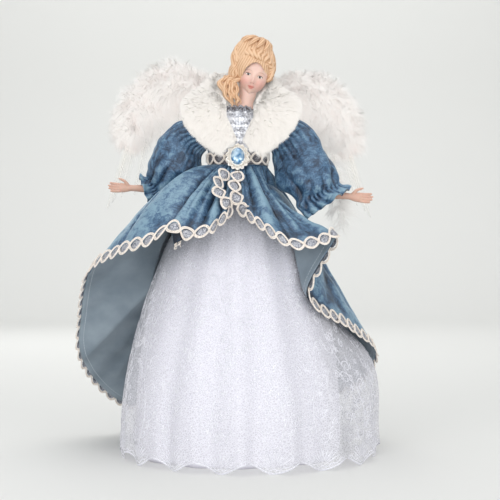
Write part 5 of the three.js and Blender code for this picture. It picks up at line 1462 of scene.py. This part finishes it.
# %% Hair paint and locks
hair_paint, tree, shader = new_material("washed_gold_paint", Roughness=0.48)
groove = add_node(tree, "ShaderNodeAttribute", attribute_name="ridge").outputs["Fac"]
place = add_node(tree, "ShaderNodeTexCoord").outputs["Object"]
brushed = add_node(tree, "ShaderNodeTexNoise", {"Vector": place, "Scale": 1 / 0.004, "Detail": 3}).outputs["Fac"]
wash = add_node(tree, "ShaderNodeMath", {0: brushed, 1: 0.35, 2: groove}, operation="MULTIPLY_ADD").outputs["Value"]
HAIR_TINTS = [(0.1, "#a0744f"), (0.55, "#c39873"), (1.0, "#dab694")]
add_node(tree, "ShaderNodeValToRGB", {"Fac": wash}, HAIR_TINTS, (shader, "Base Color"))


def hair_lock(stations, radii, lobes=4, twist=0.0, steps=34, sides=24, flat=0.8):
    """A tapering lock with grooves along it: points, faces and how near each point is to a ridge."""
    share = np.linspace(0, 1, steps)
    line = spline(stations, share, 0.5)
    way = unit(np.gradient(line, axis=0))
    out = unit(line - np.array([-2.0, 6.0, 4.0]))
    side = unit(np.cross(way, out))
    top = np.cross(side, way)
    turn = round_angles(sides)
    ridge = np.abs(np.sin(lobes * (turn + twist * share[:, None])))
    radius = np.interp(share, np.linspace(0, 1, len(radii)), radii)[:, None] * (0.84 + 0.16 * ridge)
    ring = np.cos(turn)[:, None] * side[:, None] + flat * np.sin(turn)[:, None] * top[:, None]
    points = line[:, None] + radius[..., None] * ring
    faces = grid_faces(steps, sides, ring=True, flip=True) + end_faces(steps, sides)
    return points.reshape(-1, 3), faces, ridge.ravel()


def hair_ball(centre, radii, grooves, depth, slant, keep=None):
    """A rounded mass of hair with grooves that run from its top."""
    rows, columns = 70, 180
    down = np.linspace(0.02, math.pi - 0.02, rows)[:, None]
    round_it = round_angles(columns)
    wave = 1.3 * np.sin(5.0 * down + 1.6 * np.sin(2 * round_it))
    ridge = np.abs(np.sin(grooves / 2 * round_it + slant * down + wave)) ** 0.7
    size = 1 - depth * (1 - ridge) * np.sin(down)
    points = np.array(centre) + ball(down, round_it) * size[..., None] * np.array(radii)
    faces = grid_faces(rows, columns, ring=True, flip=True)
    if keep is not None:
        wanted = keep(points.reshape(-1, 3))
        faces = [face for face in faces if wanted[face].all()]
    return points.reshape(-1, 3), faces, ridge.ravel()


def behind_face(points):
    """Leaves out what would hang in front of the face."""
    return (egg(points, [0, -18.5, -9], [12.6, 17, 22]) > 1) & (egg(points, [0, 0, 0], [13.2, 13.6, 19]) > 1)


locks = [
    hair_ball((-3, 5, 8), (19.4, 19.8, 20.4), 44, 0.045, 1.2, behind_face),
    hair_ball((-5, 4, 17.5), (20.4, 14.8, 20.0), 40, 0.05, 0.5),
    hair_ball((-18.5, 2, 0), (6.4, 9.5, 10.5), 14, 0.12, 1.6),
]
FACE_WAVES, CROWN_LOCKS, RINGLETS = 21, 11, 10
rng = np.random.default_rng(97)
for number, angle in enumerate(np.radians(np.linspace(-116, 106, FACE_WAVES))):
    s, c = math.sin(angle), math.cos(angle)
    root = np.array([14.3 * s - 0.8, -11.6 + 8.5 * abs(s) ** 1.6, 1.5 + 12.2 * c])
    roll = np.array([18.2 * s - 1.6, -12.4 + 9.5 * abs(s) ** 1.4, 5.0 + 14.6 * c])
    over = np.array([20.2 * s - 3.5, -7.5 + 7.0 * abs(s), 12.0 + 13.5 * c])
    back = np.array([19.0 * s - 4.5, -5.0 + 7.0 * abs(s), 19.0 + 13.0 * c])
    crown = np.array([13.0 * s - 5.0, -1.5 + 5.0 * abs(s), 27.5 + 9.0 * c])
    stations = np.array([root, (root + roll) / 2, roll, (roll + over) / 2, over, back, crown])
    wave = rng.uniform(0.8, 2.0) * np.sin(0.8 * number + rng.uniform(-0.5, 0.5) + 2.1 * np.arange(5))
    stations[1:6] += wave[:, None] * np.array([c, 0, -s])
    radii = np.array([1.2, 2.6, 3.3, 3.3, 2.8, 1.8]) * rng.uniform(0.9, 1.15)
    locks.append(hair_lock(stations, radii, lobes=2, twist=rng.uniform(-2, 2), steps=48))
for number in range(CROWN_LOCKS):
    turn = np.linspace(0, 0.7, 6) + number * TAU / CROWN_LOCKS
    rise = np.array([26.5, 30.2, 33.4, 35.6, 36.8, 37.2]) - 0.6 * (number % 3)
    swell = np.array([13.4, 13.2, 12.0, 9.4, 5.8, 1.8])
    stations = np.stack([-5 + swell * np.sin(turn) * 1.1, 4 - swell * np.cos(turn), rise], axis=-1)
    locks.append(hair_lock(stations, [1.2, 2.4, 2.8, 2.6, 1.9, 0.7], lobes=3, twist=0.8))
for number in range(RINGLETS):
    t = np.linspace(0, 1, 26)
    reach = 0.86 + 0.14 * math.sin(2.1 * number)
    beside = 1.9 * (number - 4.5) * (1 - 0.5 * t)
    coil = TAU * (2.3 * t + 0.23 * number)
    curl = [beside + 1.5 * np.sin(coil), np.cos(coil) - 1.6 * (number % 2), 0.35 * beside]
    stations = spline(RINGLET_FALL, t * reach) + np.stack(curl, axis=-1)
    locks.append(hair_lock(stations, [1.7, 2.3, 2.2, 2.0, 1.5, 0.3], lobes=2, steps=80, sides=14, flat=0.95))
points, faces = merge(*[lock[:2] for lock in locks])
ridge = np.concatenate([lock[2] for lock in locks])
moulded_hair = mesh_piece("moulded_hair_waves", on_head(points), faces, [hair_paint], "root", ridge=ridge)
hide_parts("moulded_hair")
print("locks of hair:", len(locks))

# %% [markdown]
# ## Hands
# Forearms and hands are bisque like the head. Wrist, palm, fingers and thumb start as tapering
# tubes. A voxel remesh melts them into one skin, and a smoothing pass softens the joins between the
# fingers, as the mould does on the real casting.

# %% Hands
FINGER_LENGTHS, VOXEL = (9, 11, 11.5, 10), 0.00042


def forearm_forms():
    """Forearm and hand along +X, thumb up and palm to the front, as overlapping closed tubes."""
    reach = np.array([-3.2, 0, 6, 12.5, 20, 25, 30, 35, 36.6])
    tall = np.array([2.4, 4, 4.1, 3.9, 3.2, 3.0, 4.3, 4.7, 3.7])
    deep = np.array([2.4, 4, 4.0, 3.7, 3.0, 2.7, 2.3, 2.2, 1.4])
    rings, sides = len(reach), 24
    ring = round_angles(sides)
    arm = np.stack([reach[:, None] + 0 * ring, deep[:, None] * np.sin(ring), tall[:, None] * np.cos(ring)], axis=-1)
    forms = [(arm, grid_faces(rings, sides, ring=True, flip=True) + end_faces(rings, sides))]
    share = np.linspace(0, 1, 16)
    taper = np.interp(share, [0, 0.85, 1], [1.4, 1.12, 0.55])
    for number, length in enumerate(FINGER_LENGTHS):
        z = (number - 1.5) / 4 * 9
        stations = [(33.0, 0, z * 0.95), (36 + length * 0.5, -0.4, z * 1.12), (36 + length, -2.2, z * 1.2 + 0.4)]
        forms.append(tube(spline(stations, share), taper, sides=14, up=(0, 1, 0)))
    thumb = spline([(27.5, -0.6, 1.6), (31.05, -2, 6.3), (37.25, -3, 9.1)], share)
    taper = np.interp(share, [0, 0.5, 0.85, 1], [2.0, 1.5, 1.2, 0.6])
    forms.append(tube(thumb, taper, sides=14, up=(0, 1, 0)))
    return merge(*forms)


hand_points, hand_faces = forearm_forms()
rough = bpy.data.meshes.new("rough_hand")
rough.from_pydata((hand_points * MM).tolist(), [], hand_faces)
worked = bpy.data.objects.new("rough_hand", rough)
scene.collection.objects.link(worked)
melt = worked.modifiers.new("melt", "REMESH")
melt.mode = "VOXEL"
melt.voxel_size = VOXEL
relax = worked.modifiers.new("relax", "SMOOTH")
relax.iterations = 6
bpy.context.view_layer.update()
skin = bpy.data.meshes.new_from_object(worked.evaluated_get(bpy.context.evaluated_depsgraph_get()))
bpy.data.objects.remove(worked)
skin_points = np.empty(len(skin.vertices) * 3)
skin.vertices.foreach_get("co", skin_points)
skin_points = skin_points.reshape(-1, 3) / MM
skin_faces = [list(face.vertices) for face in skin.polygons]

for name, side, slope in (("right", -1, 2), ("left", 1, -6)):
    lean = turned(-side * slope, "y")
    points = (skin_points * [side, 1, 1]) @ lean.T + np.array(WRIST_BENDS[name])
    faces = skin_faces if side > 0 else [face[::-1] for face in skin_faces]
    hand = mesh_piece(
        f"{name}_bisque_hand", points, faces, [bisque], f"{name}_hand",
        face_mm=skin_points * [1, 1, 0] + [0, 0, -PAINT_DROP],
    )  # fmt: skip
    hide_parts(f"{name}_forearm")
print("hand points:", len(skin_points))

# %% [markdown]
# ## Wings
# Each wing is a bent wire wrapped with marabou, the down of a stork or turkey: hundreds of small
# plumes, each a stalk with fine loose barbs. Long thin ivory feathers hang below. The barbs are thin
# strips of about 0.2 mm, wider than real ones, so that they still show; their shading follows the
# roll of down, which keeps it soft.

# %% Marabou
down_fibre = loose_fibre("marabou_down", "#dfd3cf", "#e9e7e4", Roughness=0.9, Sheen_Weight=0.2)

WING_Y = 29.43
WING_STEM = np.array([[7, WING_Y, 298], [7, WING_Y, 312]])
WING_ARCH = np.array([[16, 9, 49], [42, 17, 77], [68, 21, 86], [98, 23, 65], [112, 25, 27]], float)
LEFT_WING_DROP = 8


def wing_line(side, share):
    """The wing's wire by share of its length, from the stem on the back plate to the tip."""
    arch = WING_ARCH + [0, WING_Y, WAIST - (LEFT_WING_DROP if side > 0 else 0)]
    stations = np.concatenate([WING_STEM, arch]) * [side, 1, 1]
    fine = spline(stations, np.linspace(0, 1, 500), 0.5)
    run = np.append(0, np.cumsum(step_lengths(fine)))
    return between(np.asarray(share) * run[-1], run, fine)


MARABOU_FROM, MARABOU_TO, DOWN_RADIUS = 5 / 14, 0.99, 21
PLUMES, BARBS, BARB_HALF = 640, 110, 0.1
DROOP = np.array([0, 0, -1.0])
STRAND_PLUMES = 30
STRAND_LINE = np.array([[84, 50, 345], [90, 48, 310], [97, 44, 270], [102, 39, 234]], float)
for name, (side, _) in SLEEVES.items():
    rng = np.random.default_rng(110 + side)
    share = rng.uniform(0, 1, PLUMES)
    place_on = MARABOU_FROM + (MARABOU_TO - MARABOU_FROM) * share
    at = wing_line(side, place_on)
    way = unit(wing_line(side, np.clip(place_on + 0.01, 0, 1)) - wing_line(side, place_on - 0.01))
    first = unit(np.cross(way, [0, 1, 0]))
    second = np.cross(way, first)
    turn = rng.uniform(0, TAU, PLUMES)[:, None]
    out = np.cos(turn) * first + np.sin(turn) * second
    radius = DOWN_RADIUS * np.sqrt(np.sin(math.pi * (0.1 + 0.83 * share)))
    stalk = unit(out + 0.45 * way + rng.normal(size=out.shape) * 0.2)
    if side > 0:
        # One strand of down hangs from the left wing along the feathers and shows under the cuff.
        along = np.linspace(0, 1, STRAND_PLUMES) ** 0.5
        at[:STRAND_PLUMES] = spline(STRAND_LINE, along)
        radius[:STRAND_PLUMES] = 4 + 7 * along**4
    reach = (radius * rng.uniform(0.75, 1.4, PLUMES))[:, None]
    flat_side = unit(np.cross(stalk, rng.normal(size=stalk.shape)))

    t = rng.uniform(0.1, 1, (PLUMES, BARBS))[..., None]
    roots = at[:, None] + (stalk[:, None] * t + DROOP * 0.28 * t**2) * reach[:, None]
    hand = rng.choice([-1.0, 1.0], (PLUMES, BARBS))[..., None]
    ways = unit(0.8 * stalk[:, None] + 0.75 * hand * flat_side[:, None] + 0.3 * rng.normal(size=roots.shape))
    wisp = 1 + 0.8 * ease(-out[:, None, 2:], 0.2, 0.9)
    size = (17 - 5 * t) * wisp * rng.uniform(0.7, 1.3, t.shape)
    # Painted shade: each barb is darker near the foot of its stalk and paler out along it.
    outer = (0.25 + 0.75 * t) * np.ones_like(size)
    off = unit(roots - at[:, None]).reshape(-1, 3)
    if side > 0:
        # The strand's normals face the front, so that it stays pale, and it is painted in the palest tip colour all
        # along.
        off[: STRAND_PLUMES * BARBS] -= [0, 1.2, 0]
        outer[:STRAND_PLUMES] = 1
    facing = evenly_lit(off)
    roots, ways, size = roots.reshape(-1, 3), ways.reshape(-1, 3), size.reshape(-1, 1)
    lean = np.broadcast_to(DROOP * 0.7, roots.shape)
    points, faces = strands(roots, ways, facing, lean, size, BARB_HALF, rng)
    soft = np.repeat(unit(facing + 0.1 * rng.normal(size=off.shape)), STRAND_POINTS, axis=0)
    plumage = mesh_piece(
        f"{name}_marabou_plumes", points, faces, [down_fibre], f"{name}_wing",
        normals=soft, outer=np.repeat(outer.ravel(), STRAND_POINTS),
    )  # fmt: skip
    plumage.visible_shadow = False
    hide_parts(f"{name}_wing_marabou")
    print(name, "wing barbs:", PLUMES * BARBS)

# %% [markdown]
# ## Long feathers
# Six ivory hackles hang from each roll of down. A feather is a tapering shaft with barbs on both
# sides that slant towards its tip; here each barb is a strip, a little apart from the next, so light
# passes between them as it does on the real feathers.

# %% Long feathers
# A bleached feather lets much of the light through and is a little uneven in tone along its length.
hackle = mottled(
    "bleached_hackle_feather", "ShaderNodeTexNoise", {"Scale": 1 / 0.012, "Detail": 3},
    [(0, "#dcd8cf"), (1, "#ece9e2")], Roughness=0.6, Sheen_Weight=0.3, Alpha=0.24,
)  # fmt: skip
FEATHERS, FEATHER_LENGTH, FEATHER_HALF, FEATHER_BARBS = 6, 112, 7.0, 110

for name, (side, _) in SLEEVES.items():
    rng = np.random.default_rng(130 + side)
    forms = []
    for number in range(FEATHERS):
        share = number / (FEATHERS - 1)
        root = wing_line(side, 0.52 + 0.42 * share) + [0, 1.6 * (number - 3) + 0.5, 0]
        length = FEATHER_LENGTH * (1.12 - 0.34 * share)
        lean = math.radians(4 + 10 * share)
        hang = np.array([side * math.sin(lean), 0, -math.cos(lean)])
        across = np.array([math.cos(lean), 0, side * math.sin(lean)])
        t = np.linspace(0.06, 1, 40)[:, None]
        curve = root + hang * length * t + across * side * 5 * t**2.2 + np.sin(3 * t) * [0, 2.0, 0]
        forms.append(tube(curve, 0.42 * (1 - 0.85 * t[:, 0]) + 0.05, sides=6, up=(0, 1, 0)))
        for hand in (-1, 1):
            place_on = np.linspace(0.12, 0.995, FEATHER_BARBS) + rng.uniform(-0.002, 0.002, FEATHER_BARBS)
            start = between(place_on, t[:, 0], curve)
            half = FEATHER_HALF * np.sin(math.pi * np.clip(place_on, 0, 1) ** 0.8) ** 0.7
            half = (half * rng.uniform(0.75, 1.1, FEATHER_BARBS) + 0.6)[:, None]
            slant = unit(across * hand * 0.8 + hang * 0.9)
            reach = np.array([0, 0.5, 1])[:, None, None]
            middle = start + slant * half * reach + (hang * half * 0.35 + [0, 0.8, 0]) * reach**2
            width = hang * 0.36 * np.array([1, 0.9, 0.3])[:, None, None]
            barb = np.stack([middle - width, middle + width], axis=2)
            forms += [(barb[:, k], grid_faces(3, 2)) for k in range(FEATHER_BARBS)]
    points, faces = merge(*forms)
    feathers = mesh_piece(f"{name}_hackle_feathers", points, faces, [hackle], f"{name}_wing")
    feathers.visible_shadow = False
    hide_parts(*[f"{name}_wing_feather_{number + 1}" for number in range(6)])
print("feathers made")

# %% [markdown]
# ## Card, foam and wire
# The pieces inside need no new shape, only their own finish: grey-brown card for the cone and the
# wing plate, pale foam for the torso, and galvanised wire. Card shows short pressed fibres, foam
# shows small cells, and zinc on wire is a little patchy.

# %% Finishes of the inner pieces
card = mottled(
    "pressed_card", "ShaderNodeTexNoise", {"Scale": 1 / 0.0025, "Detail": 6},
    [(0, "#c6bda9"), (1, "#e3dccd")], (0.2, 0.0005), Roughness=0.9,
)  # fmt: skip
foam = mottled(
    "moulded_polystyrene_foam", "ShaderNodeTexVoronoi", {"Scale": 1 / 0.003},
    [(0, "#f5f3ee"), (1, "#dedbd3")], (0.3, 0.0006), output="Distance", Roughness=0.95,
)  # fmt: skip
wire = mottled(
    "galvanised_wire", "ShaderNodeTexNoise", {"Scale": 1 / 0.001, "Detail": 4},
    [(0, "#8f9296"), (1, "#c9ccd0")], Metallic=1.0, Roughness=0.38,
)  # fmt: skip

INNER = {"tree_cone": card, "wing_plate": card, "torso_core": foam, "shoulder_wire": wire}
for name in SLEEVES:
    INNER |= {f"{name}_arm_wire": wire, f"{name}_wing_wire": wire}
for name, finish in INNER.items():
    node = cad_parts[name]
    if not node.material_slots:
        node.data.materials.append(finish)
    for holder in node.material_slots:
        holder.material = finish
print("inner pieces finished:", len(INNER))

# %% [markdown]
# ## Sizes and closing
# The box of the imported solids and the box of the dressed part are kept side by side, so that anything
# that stands too proud of the solids is easy to see.

# %% Sizes and closing
dressed_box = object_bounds()
for label, box in (("solids", cad_box), ("dressed", dressed_box)):
    print(label, [[round(float(v), 4) for v in corner] for corner in box])
